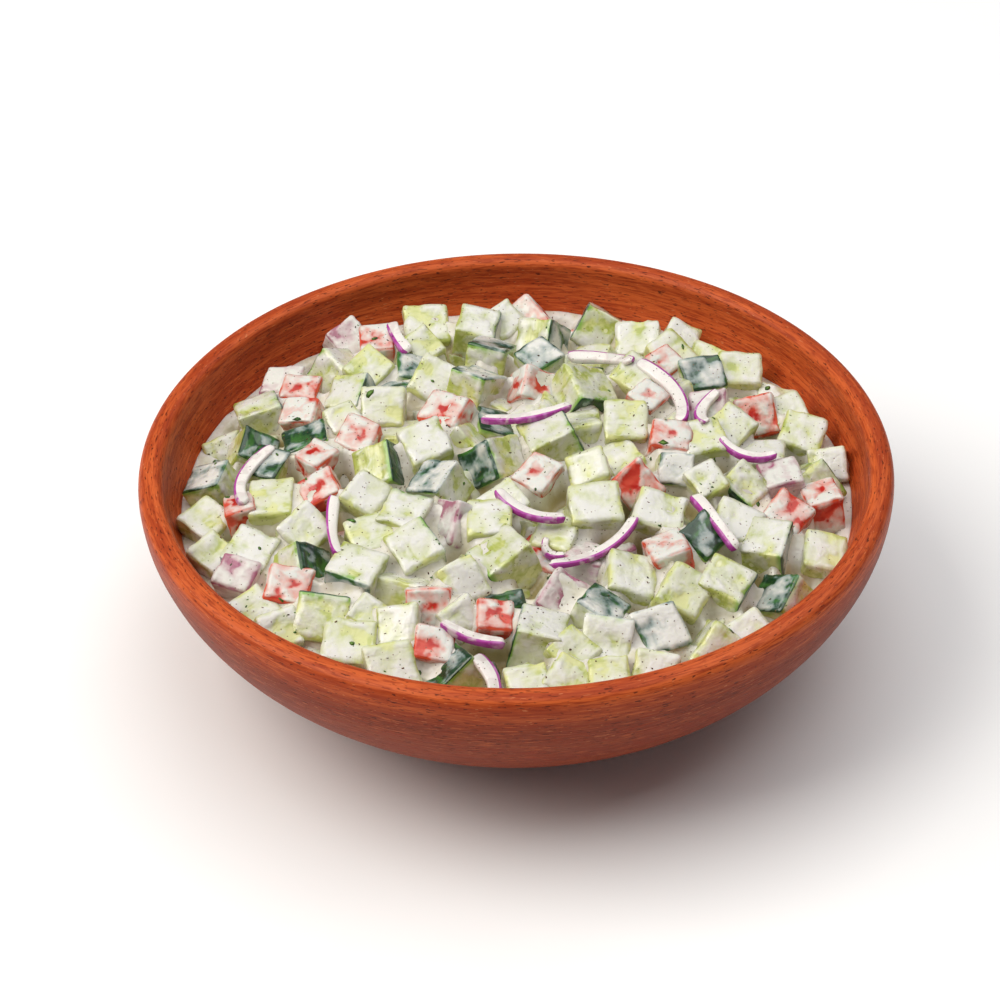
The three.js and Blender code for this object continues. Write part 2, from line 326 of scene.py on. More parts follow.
class Graph:
    """A material's nodes, ending in one Principled shader."""

    def __init__(self, name: str, constants: dict[str, object]) -> None:
        """Starts a material.

        Args:
            name: the material's name.
            constants: values for sockets of the shader that are the same all over.
        """
        self.material = bpy.data.materials.new(name)
        self.material.use_nodes = True
        self.tree = self.material.node_tree
        self.tree.nodes.clear()
        self.shader = self.node("ShaderNodeBsdfPrincipled", {}, dict(constants))
        self.node("ShaderNodeOutputMaterial", {}, {0: self.shader.outputs[0]})

    def node(
        self, kind: str, settings: dict[str, object], inputs: dict[object, object]
    ) -> bpy.types.Node:
        """Adds a node.

        Args:
            kind: the node's type.
            settings: its own settings, set first.
            inputs: numbers, vectors, sockets or Values for its sockets, by name or number.

        Returns:
            The node.
        """
        node = self.tree.nodes.new(kind)
        for key, setting in settings.items():
            setattr(node, key, setting)
        for key, given in inputs.items():
            if isinstance(given, Value):
                given = given.socket
            if isinstance(given, bpy.types.NodeSocket):
                self.tree.links.new(given, node.inputs[key])
            else:
                node.inputs[key].default_value = given
        return node

    def attribute(self, name: str) -> bpy.types.Node:
        """Reads a vertex attribute of the piece."""
        return self.node("ShaderNodeAttribute", {"attribute_name": name}, {})

    def parts(self, vector: bpy.types.NodeSocket) -> tuple[Value, Value, Value]:
        """The three numbers of a vector."""
        node = self.node("ShaderNodeSeparateXYZ", {}, {0: vector})
        return tuple(Value(self, output) for output in node.outputs)

    def vector(self, x: object, y: object, z: object) -> bpy.types.NodeSocket:
        """A vector of three numbers."""
        return self.node("ShaderNodeCombineXYZ", {}, {0: x, 1: y, 2: z}).outputs[0]

    def stretched(self, vector: bpy.types.NodeSocket, scale: Triple) -> bpy.types.NodeSocket:
        """A vector with its parts multiplied one by one."""
        node = self.node("ShaderNodeVectorMath", {"operation": "MULTIPLY"}, {0: vector, 1: scale})
        return node.outputs[0]

    def across(self) -> Value:
        """How far a point of a die is from its face's middle.

        Returns:
            The middle one of the sizes of its attribute "local": 0 in the middle, 1 at an edge.
        """
        x, y, z = (abs(part) for part in self.parts(self.attribute("local").outputs["Vector"]))
        largest, smallest = x.at_least(y).at_least(z), x.at_most(y).at_most(z)
        return x + y + z - largest - smallest

    def edge(self, low: float, high: float) -> Value:
        """How near a point of a die is to an edge of it."""
        return self.across().step(low, high)

    def place_mm(self) -> bpy.types.NodeSocket:
        """The point's place in the model, in millimetres."""
        place = self.node("ShaderNodeTexCoord", {}, {}).outputs["Object"]
        return self.stretched(place, (1 / MM, 1 / MM, 1 / MM))

    def noise(
        self, vector: bpy.types.NodeSocket, grain: float, detail: float = 2.0, distortion: float = 0.0
    ) -> Value:
        """Cloudy noise from 0 to 1.

        Args:
            vector: where it is read, in millimetres.
            grain: size of its patches in millimetres.
            detail: how many finer layers it has.
            distortion: how much it swirls.

        Returns:
            The noise.
        """
        inputs = {"Vector": vector, "Scale": 1 / grain, "Detail": detail, "Distortion": distortion}
        return Value(self, self.node("ShaderNodeTexNoise", {}, inputs).outputs[0])

    def lumps(self) -> Value:
        """Soft lumps and runs of the film, from 0 to 1."""
        return self.noise(self.stretched(self.place_mm(), (1.0, 1.0, 0.7)), 2.4, 1.5, 0.6)

    def dots(
        self, vector: bpy.types.NodeSocket, spacing: float, radius: float, share: float
    ) -> tuple[Value, Value]:
        """Small round dots.

        Args:
            vector: where they are read, in millimetres.
            spacing: distance from one place for a dot to the next.
            radius: of a dot, in millimetres.
            share: how many of the places have a dot, from 0 to 1.

        Returns:
            A mask of the dots, and a random number for each.
        """
        node = self.node("ShaderNodeTexVoronoi", {}, {"Vector": vector, "Scale": 1 / spacing})
        chance, hue, _ = self.parts(node.outputs["Color"])
        near = 1 - Value(self, node.outputs["Distance"]).step(0.6 * radius / spacing, radius / spacing)
        return near * chance.step(1 - share - 0.01, 1 - share), hue

    def mix(self, share: object, first: object, second: object) -> bpy.types.NodeSocket:
        """A colour between two others.

        Args:
            share: how much of the second one.
            first: a socket or a screen colour.
            second: a socket or a screen colour.

        Returns:
            The colour.
        """
        colors = [linear(color) if isinstance(color, tuple) else color for color in (first, second)]
        inputs = {0: share, 6: colors[0], 7: colors[1]}
        return self.node("ShaderNodeMix", {"data_type": "RGBA"}, inputs).outputs[2]

    def spiced(self, color: bpy.types.NodeSocket) -> bpy.types.NodeSocket:
        """A colour with fine red-brown and green specks of spice on it."""
        speck, hue = self.dots(self.place_mm(), 1.3, 0.25, 0.5)
        return self.mix(speck * 0.75, color, self.mix(hue.step(0.60, 0.70), BROWN_SPICE, GREEN_SPICE))

    def finish(
        self, color: bpy.types.NodeSocket, roughness: object, height: Value, depth_mm: float
    ) -> bpy.types.Material:
        """Feeds the shader.

        Args:
            color: the base colour.
            roughness: a number or a Value.
            height: relief from 0 to 1.
            depth_mm: how deep that relief is.

        Returns:
            The finished material.
        """
        bump = self.node("ShaderNodeBump", {}, {"Distance": depth_mm * MM, "Height": height})
        self.tree.links.new(color, self.shader.inputs["Base Color"])
        self.tree.links.new(bump.outputs[0], self.shader.inputs["Normal"])
        if isinstance(roughness, Value):
            self.tree.links.new(roughness.socket, self.shader.inputs["Roughness"])
        else:
            self.shader.inputs["Roughness"].default_value = roughness
        return self.material


# ---- Finishes ----

def moist(
    glow: float, reach_mm: Triple, coat: float, coat_roughness: float,
    ior: float = 1.38, depth_mm: float = 2.0,
) -> dict[str, object]:
    """The shader's constants for wet food that light goes into.

    Args:
        glow: how much of the light comes back from inside.
        reach_mm: how far red, green and blue light go, as shares of the depth.
        coat: strength of the wet gloss.
        coat_roughness: how blurred that gloss is.
        ior: bending of light.
        depth_mm: how deep the light goes.

    Returns:
        Values by the names of the sockets.
    """
    return {"Subsurface Weight": glow, "Subsurface Radius": reach_mm, "Subsurface Scale": depth_mm * MM,
            "IOR": ior, "Coat Weight": coat, "Coat Roughness": coat_roughness}


@dataclass(frozen=True)
class DressingFilm:
    """Dressing on a surface: a milky veil that thickens to an opaque coat in smooth patches."""

    thick: Rgb = (215, 214, 207)
    thin: Rgb = (194, 200, 165)
    veil: float = 0.6
    patch_mm: float = 5.0

    def cover(self, graph: Graph, amount: object) -> Value:
        """How thick the dressing lies on each point.

        Args:
            graph: the material's graph. Its piece has the attribute "coat": the film of the mesh's
                own relief, the height above the dressing's level in millimetres and a number of the
                piece's own.
            amount: more or less film, about -0.5 to 0.5.

        Returns:
            0 where the surface is bare to 1 where the film hides it.
        """
        place = graph.place_mm()
        film, above, own = graph.parts(graph.attribute("coat").outputs["Vector"])
        broad = graph.noise(place, self.patch_mm, 1.5, 0.5)
        fine = graph.noise(place, 1.3, 1.5, 0.3)
        low = 1 - above.step(-0.3, 2.5)
        raw = (broad - 0.5) * 2.6 + (fine - 0.5) * 0.6 + film * 0.8 + low * 0.3 + own * 0.5 + amount
        return raw.ramp(-0.3, 1.0)

    def lay(self, graph: Graph, under: object, cover: Value) -> bpy.types.NodeSocket:
        """The colour of a surface with the film and its specks of spice on it.

        Args:
            graph: the material's graph.
            under: the surface's own colour.
            cover: how thick the film is, from 0 to 1.

        Returns:
            The colour.
        """
        veiled = graph.mix(cover.step(0.0, 0.4) * self.veil, under, self.thin)
        return graph.spiced(graph.mix(cover.ramp(0.15, 0.9), veiled, self.thick))


@dataclass(frozen=True)
class CucumberFinish:
    """Cut cucumber: skin, the green just under it, and pale flesh with seeds and streaks."""

    skin: Rgb = (16, 54, 26)
    skin_light: Rgb = (58, 108, 40)
    rind: Rgb = (124, 168, 70)
    flesh: Rgb = (204, 206, 140)
    flesh_deep: Rgb = (164, 174, 82)
    seed_pale: Rgb = (236, 236, 200)
    film: DressingFilm = field(default_factory=DressingFilm)
    skin_film: DressingFilm = field(
        default_factory=lambda: DressingFilm(thin=(104, 134, 134), veil=0.7))

    def build(self, name: str, has_skin: bool) -> bpy.types.Material:
        """The material of skin-on or skinless dice.

        Args:
            name: the material's name.
            has_skin: whether the first face is skin.

        Returns:
            The material.
        """
        graph = Graph(name, moist(0.2, (1.0, 1.1, 0.6), 0.8, 0.12))
        local = graph.attribute("local").outputs["Vector"]
        grain = graph.attribute("grain").outputs["Vector"]
        _, _, up = graph.parts(local)
        streaks = graph.noise(graph.stretched(grain, (0.22, 1.0, 1.0)), 1.5, 3.0, 0.5)
        cloud = graph.noise(grain, 5.0, 2.0)
        deep = (streaks * 0.6 + cloud * 0.8 - up * 0.06).step(0.58, 0.86)
        color = graph.mix(deep, self.flesh, self.flesh_deep)
        seed, _ = graph.dots(graph.stretched(grain, (0.4, 1.0, 1.0)), 2.6, 0.85, 0.45)
        color = graph.mix(seed * (1 - up.step(-0.3, 0.4)) * 0.6, color, self.seed_pale)
        edge = graph.edge(0.80, 0.97)
        cover = self.film.cover(graph, edge * -0.4 - deep * 0.2 - 0.14)
        if has_skin:
            _, _, own = graph.parts(graph.attribute("coat").outputs["Vector"])
            wander = cloud * 0.22
            color = graph.mix((up + wander).step(0.72, 1.06), color, self.rind)
            color = self.film.lay(graph, color, cover)
            mottle = graph.noise(graph.stretched(grain, (0.3, 1.0, 1.0)), 2.4, 3.0, 0.3)
            skin = graph.mix(mottle.step(0.44, 0.66), self.skin, self.skin_light)
            over_skin = self.skin_film.cover(graph, edge * -0.6 + own * 0.6 - 0.3)
            skin = self.skin_film.lay(graph, skin, over_skin)
            bare = (up + wander * 0.10).step(0.93, 0.97)
            color = graph.mix(bare, color, skin)
        else:
            color = self.film.lay(graph, color, cover)
        height = cover * 0.8 + graph.lumps() * 0.6 + streaks * 0.1
        return graph.finish(color, 0.30 - cover * 0.04, height, 0.45)


@dataclass(frozen=True)
class TomatoFinish:
    """Diced tomato: red flesh that shows at the edges and in patches through the film."""

    flesh: Rgb = (204, 74, 56)
    deep: Rgb = (178, 30, 22)
    edge: Rgb = (220, 92, 56)
    film: DressingFilm = field(default_factory=lambda: DressingFilm(thin=(214, 140, 126), veil=0.75))

    def build(self) -> bpy.types.Material:
        """Mixes the colours.

        Returns:
            The material.
        """
        graph = Graph("tomato", moist(0.2, (1.6, 0.6, 0.4), 0.25, 0.1))
        grain = graph.attribute("grain").outputs["Vector"]
        edge = graph.edge(0.84, 1.0)
        cloud = graph.noise(grain, 3.6, 1.0, 0.4)
        middle = 1 - (graph.across() + (cloud - 0.5) * 1.2).step(0.05, 0.5)
        color = graph.mix(middle.at_least((1 - cloud).step(0.45, 0.60) * 0.6), self.flesh, self.deep)
        color = graph.mix(edge, color, self.edge)
        cover = self.film.cover(graph, edge * -0.8 - middle * 0.8 - 0.02)
        color = self.film.lay(graph, color, cover)
        return graph.finish(color, 0.26, cover * 0.8 + graph.lumps() * 0.6, 0.45)


@dataclass(frozen=True)
class OnionFinish:
    """Red onion: translucent white flesh with lilac veins, purple on the outside of each ring."""

    flesh: Rgb = (230, 226, 220)
    vein: Rgb = (204, 176, 192)
    purple: Rgb = (166, 58, 150)
    chunk: Rgb = (150, 62, 98)
    layer: Rgb = (150, 84, 128)
    pale_purple: Rgb = (206, 150, 204)
    reach_mm: Triple = (1.2, 0.9, 1.1)
    film: DressingFilm = field(default_factory=lambda: DressingFilm(thin=(204, 188, 186)))

    def build_dice(self) -> bpy.types.Material:
        """Mixes the colours of chopped chunks, where the layers show as stripes.

        Returns:
            The material.
        """
        graph = Graph("onion_chunk", moist(0.25, self.reach_mm, 0.2, 0.12))
        grain = graph.attribute("grain").outputs["Vector"]
        layers = graph.noise(graph.stretched(grain, (0.2, 0.2, 1.0)), 1.6, 2.0, 0.3)
        color = graph.mix(layers.step(0.44, 0.64), self.flesh, self.vein)
        color = graph.mix(layers.step(0.58, 0.70) * 0.8, color, self.layer)
        _, _, up = graph.parts(graph.attribute("local").outputs["Vector"])
        color = graph.mix((up + layers * 0.3).step(1.0, 1.1) * 0.85, color, self.chunk)
        cover = self.film.cover(graph, graph.edge(0.80, 0.97) * -0.5 - 0.1)
        return graph.finish(self.film.lay(graph, color, cover), 0.32, cover * 0.6 + graph.lumps(), 0.5)

    def build_slice(self) -> bpy.types.Material:
        """Mixes the colours of slices, whose attribute "slice" holds the way along, outwards and up.

        Returns:
            The material.
        """
        graph = Graph("onion_slice", moist(0.3, self.reach_mm, 0.3, 0.08))
        along, outwards, up = graph.parts(graph.attribute("slice").outputs["Vector"])
        place = graph.place_mm()
        patch = graph.noise(place, 3.4, 2.0)
        vein = graph.noise(graph.vector(along * 2, outwards * 3, up), 0.8, 2.0)
        color = graph.mix(vein.step(0.50, 0.74) * 0.25, self.flesh, self.vein)
        color = graph.mix(outwards.step(0.6, 1.0) * 0.35, color, self.vein)
        skin = (outwards + patch * 0.12).step(0.60, 0.70)
        pale = patch.step(0.50, 0.72) * 0.6
        purple = graph.mix(pale, self.purple, self.pale_purple)
        color = graph.mix(skin, color, purple)
        cover = self.film.cover(graph, -0.45 - skin * 0.3)
        return graph.finish(self.film.lay(graph, color, cover), 0.24, cover * 0.5 + vein * 0.2, 0.25)


@dataclass(frozen=True)
class DressingFinish:
    """The dressing where it lies thick: off-white, glossy, with fine spice in it."""

    color: Rgb = (217, 213, 204)
    shade: Rgb = (204, 199, 178)
    # Painted shade: the colour of the dressing where it lies deep in the gaps between the dice.
    deep: Rgb = (166, 152, 108)

    def build(self) -> bpy.types.Material:
        """Mixes the colours. The attribute "depth" holds millimetres below the tops of the dice.

        Returns:
            The material.
        """
        graph = Graph("dressing", moist(0.3, (1.0, 1.0, 0.8), 0.2, 0.15, ior=1.40, depth_mm=3))
        place = graph.place_mm()
        cloud = graph.noise(place, 6.0, 3.0, 0.4)
        fine = graph.noise(place, 0.9, 3.0, 0.4)
        color = graph.mix(cloud.step(0.42, 0.66), self.color, self.shade)
        depth, _, _ = graph.parts(graph.attribute("depth").outputs["Vector"])
        # Painted shade: the dressing darkens with its depth below the tops of the dice.
        color = graph.mix((depth + (cloud - 0.5) * 4).step(4.0, 9.0), color, self.deep)
        return graph.finish(graph.spiced(color), 0.32, fine * 0.2 + graph.lumps(), 0.4)


@dataclass(frozen=True)
class PlainFinish:
    """Herb or pepper: one hue that wanders a little from piece to piece."""

    name: str
    first: Rgb
    second: Rgb
    roughness: float

    def build(self) -> bpy.types.Material:
        """Mixes the two hues.

        Returns:
            The material.
        """
        graph = Graph(self.name, {"IOR": 1.45})
        patch = graph.noise(graph.place_mm(), 1.7, 2.0)
        color = graph.mix(patch.step(0.36, 0.64), self.first, self.second)
        return graph.finish(color, self.roughness, patch, 0.1)


@dataclass(frozen=True)
class WoodFinish:
    """Turned reddish wood: streaks and short pores that run round the bowl, under a satin oil."""

    middle: Rgb = (188, 79, 34)
    dark: Rgb = (143, 49, 17)
    light: Rgb = (207, 100, 48)
    pore: Rgb = (66, 20, 8)
    filled: Rgb = (208, 128, 82)
    # Painted shade: the colour that darkens the outside of the bowl towards the foot.
    shaded: Rgb = (96, 30, 6)

    def build(self) -> bpy.types.Material:
        """Mixes the grain.

        The attribute "turn" holds a point of the unit circle times the rim's radius, and the way
        along the bowl's section in millimetres, and "wall" is 1 on the outside, where the wood is
        darkened with painted shade.

        Returns:
            The material.
        """
        graph = Graph("turned_wood", {"IOR": 1.45, "Coat Weight": 0.08, "Coat Roughness": 0.3,
                                      "Specular IOR Level": 0.15})
        turn = graph.attribute("turn").outputs["Vector"]
        bands = graph.noise(graph.stretched(turn, (0.05, 0.05, 1.0)), 2.6, 4.0, 0.6)
        streaks = graph.noise(graph.stretched(turn, (0.09, 0.09, 1.0)), 0.55, 3.0, 0.3)
        color = graph.mix(bands.step(0.36, 0.66), self.dark, self.light)
        color = graph.mix(0.45, color, self.middle)
        outside, _, _ = graph.parts(graph.attribute("wall").outputs["Vector"])
        # Painted shade: the outside of the bowl is darkened, by the mask "wall", where it would lie in
        # shade.
        color = graph.mix(outside * 0.75, color, self.shaded)
        color = graph.mix(streaks.step(0.48, 0.68) * 0.75, color, self.dark)
        color = graph.mix((1 - streaks).step(0.54, 0.72) * 0.5, color, self.light)
        lines = graph.noise(graph.stretched(turn, (0.045, 0.045, 1.0)), 0.34, 2.0, 0.2)
        color = graph.mix(lines.step(0.55, 0.66) * 0.55, color, self.dark)
        dashes = graph.noise(graph.stretched(turn, (0.16, 0.16, 1.0)), 0.36, 1.0)
        pore = dashes.step(0.66, 0.72)
        color = graph.mix(pore * 0.8, color, self.pore)
        chalky = (1 - dashes).step(0.715, 0.76)
        color = graph.mix(chalky * 0.6, color, self.filled)
        height = lines * 0.4 + streaks * 0.5 + bands * 0.3 - pore * 0.8
        return graph.finish(color, 0.42 + streaks * 0.16, height, 0.18)


# ---- The bowl ----

@dataclass
class Bowl:
    """The turned bowl. Its outline is a superellipse outside and inside, and a soft squared rim."""

    height: float
    rim_radius: float
    foot_radius: float = 50.5
    wall: float = 6.7
    rim_round_out: float = 4.2
    floor: float = 8.0
    outer_power: float = 1.82
    inner_power: float = 1.95
    rim_power: float = 3.0
    tool_mark: float = 0.10
    mark_pitch: float = 0.55
    # Where the painted shade on the outside starts and where it is full, in millimetres below the rim.
    shade_top: float = 1.0
    shade_end: float = 12.0
    around: int = 288

    @property
    def rim_round_in(self) -> float:
        """Radius of the rim's inner rounding."""
        return self.wall - self.rim_round_out

    @property
    def inner_radius(self) -> float:
        """Radius of the inside just below the rim's rounding."""
        return self.rim_radius - self.wall

    @property
    def inner_top(self) -> float:
        """Height where the inside's curve starts."""
        return self.height - self.rim_round_in

    @property
    def inner_depth(self) -> float:
        """Depth of the inside's curve."""
        return self.inner_top - self.floor

    def inside(self, height: np.ndarray) -> np.ndarray:
        """Radius of the inner wall at a height: (r / R)^p + (depth / D)^p = 1."""
        share = np.clip((self.inner_top - height) / self.inner_depth, 0, 1)
        return self.inner_radius * (1 - share ** self.inner_power) ** (1 / self.inner_power)

    def profile(self) -> np.ndarray:
        """Half a section from the middle of the foot, up the outside and down the inside.

        Returns:
            Rows of radius and height. Each curve is cos(a)^(2/p) across and sin(a)^(2/p) up or down
            for its own power p, with a going evenly from end to end.
        """
        def curve(
            radius: float, depth: float, power: float, start: float, end: float, count: int
        ) -> np.ndarray:
            """A stretch of a superellipse.

            Args:
                radius: its reach across.
                depth: its reach up or down.
                power: p, 2 for an ellipse and more for a squarer curve.
                start: a at its first point.
                end: a at its last point.
                count: how many points it has.

            Returns:
                Rows of the ways across and up or down.
            """
            turn = np.linspace(start, end, count)
            across = radius * np.clip(np.cos(turn), 0, 1) ** (2 / power)
            return np.stack([across, depth * np.clip(np.sin(turn), 0, 1) ** (2 / power)], -1)

        quarter = math.pi / 2
        outer_top = self.height - self.rim_round_out
        share = self.foot_radius / self.rim_radius
        outer_depth = outer_top / (1 - share ** self.outer_power) ** (1 / self.outer_power)
        foot_turn = math.acos(share ** (self.outer_power / 2))
        foot = np.stack([np.linspace(0, self.foot_radius - 1, 12), np.zeros(12)], -1)
        outside = curve(self.rim_radius, outer_depth, self.outer_power, foot_turn, 0, 44)
        outside = np.stack([outside[:, 0], outer_top - outside[:, 1]], -1)
        lip = curve(self.rim_round_out, self.rim_round_out, self.rim_power, 0, quarter, 14)
        lip = lip + [self.rim_radius - self.rim_round_out, outer_top]
        brow = curve(self.rim_round_in, self.rim_round_in, 2.0, quarter, 0, 8)
        brow_reach = self.inner_radius + self.rim_round_in
        brow = np.stack([brow_reach - brow[:, 0], self.inner_top + brow[:, 1]], -1)
        inside = curve(self.inner_radius, self.inner_depth, self.inner_power, 0, quarter, 44)
        inside = np.stack([inside[:, 0], self.inner_top - inside[:, 1]], -1)
        return np.concatenate([foot, outside, lip[1:], brow[1:], inside[1:]])

    def build(self, finish: WoodFinish) -> bpy.types.Object:
        """The bowl's mesh: the profile turned about Z, with shallow marks of the turning tool.

        Args:
            finish: the wood.

        Returns:
            The piece.
        """
        profile = self.profile()
        steps = np.linalg.norm(np.diff(profile, axis=0), axis=1)
        way = np.concatenate([[0], np.cumsum(steps)])
        angle = np.arange(self.around) * 2 * math.pi / self.around
        circle = np.stack([np.cos(angle), np.sin(angle)], -1)
        rings = profile[1:-1]
        turn = np.concatenate([
            np.broadcast_to(circle * self.rim_radius, (len(rings), self.around, 2)),
            np.broadcast_to(way[1:-1, None, None], (len(rings), self.around, 1))], -1)
        off_the_foot = (rings[:, 1] > 0.5)[:, None]
        marks = self.tool_mark * lattice_noise(turn * [0.02, 0.02, self.mark_pitch], 5) * off_the_foot
        radius = rings[:, 0, None] - np.abs(marks)
        ring_points = np.stack([
            radius * circle[:, 0], radius * circle[:, 1],
            np.broadcast_to(rings[:, 1, None], radius.shape)], -1).reshape(-1, 3)
        poles = np.array([[0, 0, 0], [0, 0, self.floor]])
        points = np.concatenate([ring_points, poles])
        first_ring = np.arange(self.around)
        last_ring = first_ring + (len(rings) - 1) * self.around
        foot_fan = fan_faces(first_ring, len(ring_points))[:, ::-1]
        floor_fan = fan_faces(last_ring, len(ring_points) + 1)
        ends = np.array([[0, 0, 0], [0, 0, way[-1]]])
        # Painted shade: "wall" is 0 inside and at the rim, rises to 1 from 12 mm below the rim down the
        # outside and on the foot, and darkens the wood there.
        rim = np.argmax(profile[:, 1])
        below = np.where(np.arange(len(profile)) <= rim, self.height - profile[:, 1], 0)
        outside = smooth_step(below, self.shade_top, self.shade_end)
        wall = np.concatenate([np.repeat(outside[1:-1], self.around), [1, 0]])
        piece = make_piece(
            "wooden_bowl", points, [tube_faces(len(rings), self.around), foot_fan, floor_fan],
            {"turn": np.concatenate([turn.reshape(-1, 3), ends]), "wall": np.stack([wall, wall, wall], -1)})
        piece.data.materials.append(finish.build())
        return piece


# ---- What lies in the heap ----

class Kind(Enum):
    """The kinds of dice, with the share of each among the scattered ones."""

    SKIN_ON_CUCUMBER = 0.09
    CUCUMBER = 0.78
    TOMATO = 0.06
    ONION = 0.07


# A die is (x, y, facing, rise, spin, size). Its first face looks towards `facing` (0 is the front, 90
# the right) and `rise` degrees above level, and the die is then spun about that face. On a skin-on
# die the first face is the skin.
PLACED_DICE: dict[Kind, list[tuple[float, ...]]] = {
    Kind.SKIN_ON_CUCUMBER: [
        (-55, 12, -95, 70, 15, 11.5), (-81, 1, -100, 65, -5, 11), (-45, 36, 70, 15, 20, 11),
        (-66, 3, -35, 75, 10, 10), (-69, -31, -25, -10, -10, 12), (-55, -37, 80, 45, 25, 11),
        (-41, -43, -25, -5, -5, 12.5), (52, 46, 20, 60, -5, 11), (7, 48, -10, 75, 50, 10),
        (42, -4, 15, 55, -15, 9.5), (59, -8, -35, -5, 60, 11), (47, -31, 35, 60, 15, 10),
        (20, -59, 85, 70, 65, 10.5), (34, -63, 30, 60, -5, 12), (68, -48, -85, 55, 50, 11.5),
        (-15, -76, -90, 55, 30, 12), (-20, -11, -80, 65, 50, 11), (-6, 1, -45, 20, 45, 12),
        (-35, 0, 80, 30, 35, 12.5), (-11, 36, 145, 65, 0, 12), (79, -1, 130, 15, 45, 12),
        (52, -47, 65, -15, 5, 12.5), (5, -66, -100, 10, 5, 12.5), (-3, -40, -55, -20, 5, 13),
        (-26, -35, 120, 15, 20, 12), (10, 9, 110, 20, 0, 13), (18, 33, 20, -15, 65, 13),
        (-7, 52, 150, 70, 10, 11), (-11, 71, 80, -10, 5, 11.5), (24, 79, -110, 25, 35, 12),
        (-70, 31, 105, 10, -10, 12), (-72, 14, 60, 55, 25, 11), (-49, -55, 170, 35, 5, 12.5),
        (65, -31, 70, 5, 10, 12), (-29, -25, 160, 5, 5, 12), (-50, 53, -140, 15, 30, 11.5),
        (22, -67, 165, 35, 5, 12), (8, 66, 60, 15, 45, 11.5),
    ],
    Kind.TOMATO: [
        (5, 81, -30, 50, 60, 11), (5, 36, 50, 45, 40, 10.5), (-18, 21, -45, 70, 15, 11),
        (6, -9, -15, 70, 70, 10.5), (41, 9, 40, 70, 45, 10.5), (32, -10, 0, 40, 40, 10.5),
        (67, 29, -10, 50, 20, 11.5), (70, -19, 35, 70, 20, 11), (81, -11, -110, 80, 30, 10),
        (-58, -45, 15, 70, 65, 10.5), (-51, -10, -45, 70, 65, 10), (-53, 3, 0, 85, 50, 9.5),
        (-42, 11, -10, 75, 75, 10.5), (-58, 27, -45, 70, 30, 9.5), (-60, 39, 20, 80, 60, 9.5),
        (-39, 63, 0, 85, 5, 10.5), (-22, -54, 0, 35, 0, 11.5), (-6, -62, 30, 75, 60, 9.5),
        (-21, -69, 10, 65, 70, 9), (39, -38, -120, 80, 50, 11), (-72, -14, -85, 75, 5, 8.5),
        (36, 28, 20, 70, 30, 9), (42, 50, 10, 60, 30, 9),
    ],
    Kind.ONION: [
        (-65, 47, -25, 75, 15, 10.5), (-71, -39, -15, 70, 85, 10.5), (71, -3, -70, 80, 80, 10),
        (-15, -26, -65, 35, 30, 10.5), (-48, 71, 20, 60, 20, 11.5), (11, -52, 20, 50, 40, 11.5),
        (54, 27, -20, 60, 20, 10),
    ],
    Kind.CUCUMBER: [
        (-64, -12, -20, 75, 20, 12.5), (-82, -14, 20, 70, 30, 11.5), (-42, -67, 25, 75, 60, 12.5),
        (27, -46, 60, 65, 30, 13), (20, -22, 15, 75, 80, 12.5), (30, 16, 0, 70, 0, 12),
        (63, 50, 20, 70, 70, 12), (78, 20, 10, 70, 60, 11.5), (79, -31, 20, 70, 60, 11.5),
        (-36, 26, 0, 60, 0, 11.5), (-7, -28, 0, 75, 0, 12), (50, -66, 10, 40, 45, 12.5),
        (-40, -14, 30, 65, 30, 11), (-23, 40, 20, 60, 45, 12.5), (36, -23, 40, 70, 40, 11.5),
        (-41, 49, 10, 70, 40, 11.5), (-24, 5, 10, 75, 15, 12), (20, -6, -30, 60, 40, 11),
        (-14, -47, 10, 50, 20, 11), (-14, -59, 10, 40, 30, 10), (13, -71, 20, 60, 30, 10),
        (2, -82, 0, 70, 10, 11), (12, -80, 30, 65, 35, 11), (22, -79, 0, 70, 5, 10),
        (33, -76, 0, 60, -10, 12), (41, -50, 30, 60, 35, 12), (57, -62, 20, 60, 20, 11),
        (56, -24, 30, 70, 40, 12), (50, -10, 10, 70, 20, 9), (50, 10, 5, 75, 10, 12),
        (58, 18, 20, 65, 30, 11), (44, 59, 20, 60, 25, 12), (36, 66, -25, 60, 20, 11),
        (47, 68, 30, 60, 40, 10), (33, 41, 20, 70, 35, 12), (75, 30, 0, 70, 20, 10),
        (85, 9, -20, 50, 20, 10), (-25, 76, 0, 70, 5, 13), (-26, 61, 10, 60, 30, 10),
        (-3, 77, 10, 60, 30, 10), (-37, -31, 0, 75, 20, 12), (-55, -24, 20, 60, 30, 11),
        (-79, -28, 20, 60, 30, 10), (-67, -51, 20, 60, 25, 11), (-60, -59, 10, 60, 10, 10),
        (-37, -58, 30, 65, 30, 10), (-29, -62, -20, 60, 20, 10), (-31, -74, 10, 60, 5, 12),
        (-47, 20, 10, 70, 20, 9),
    ],
}

# An onion slice is (x, y, facing, radius, arc, width, height): the middle of the slice, where its
# outer side looks, the radius and the angle of that outer side, the slice's width and its height.
ONION_SLICES: list[tuple[float, ...]] = [
    (2, -29, -25, 20, 64, 3.4, 2.2), (23, -41, 40, 31, 60, 3.6, 2), (-12, -71, -20, 26, 40, 3.2, 2.4),
    (49, -28, -65, 80, 17, 3.2, 2.2), (-5, -80, 115, 14, 56, 4, 2.2), (26, 50, 155, 16, 85, 3.6, 2),
    (3, 11, 0, 24, 66, 3, 2.2), (46, 31, 110, 27, 75, 4, 2.2), (61, 1, -20, 14, 76, 2.6, 2),
    (49, 21, -105, 14, 84, 3.2, 2), (-74, -3, -105, 20, 84, 3.6, 2), (-49, -29, -85, 54, 26, 3, 2.2),
    (-35, 61, -70, 38, 24, 3.4, 2.2), (7, -38, -60, 6, 120, 2, 2.2),
]

# Where the largest bits of herb lie, x and y.
HERB_LEAVES: list[tuple[float, float]] = [(-42, -29), (-21, -44), (37, -28), (-12, -2), (22, 44)]


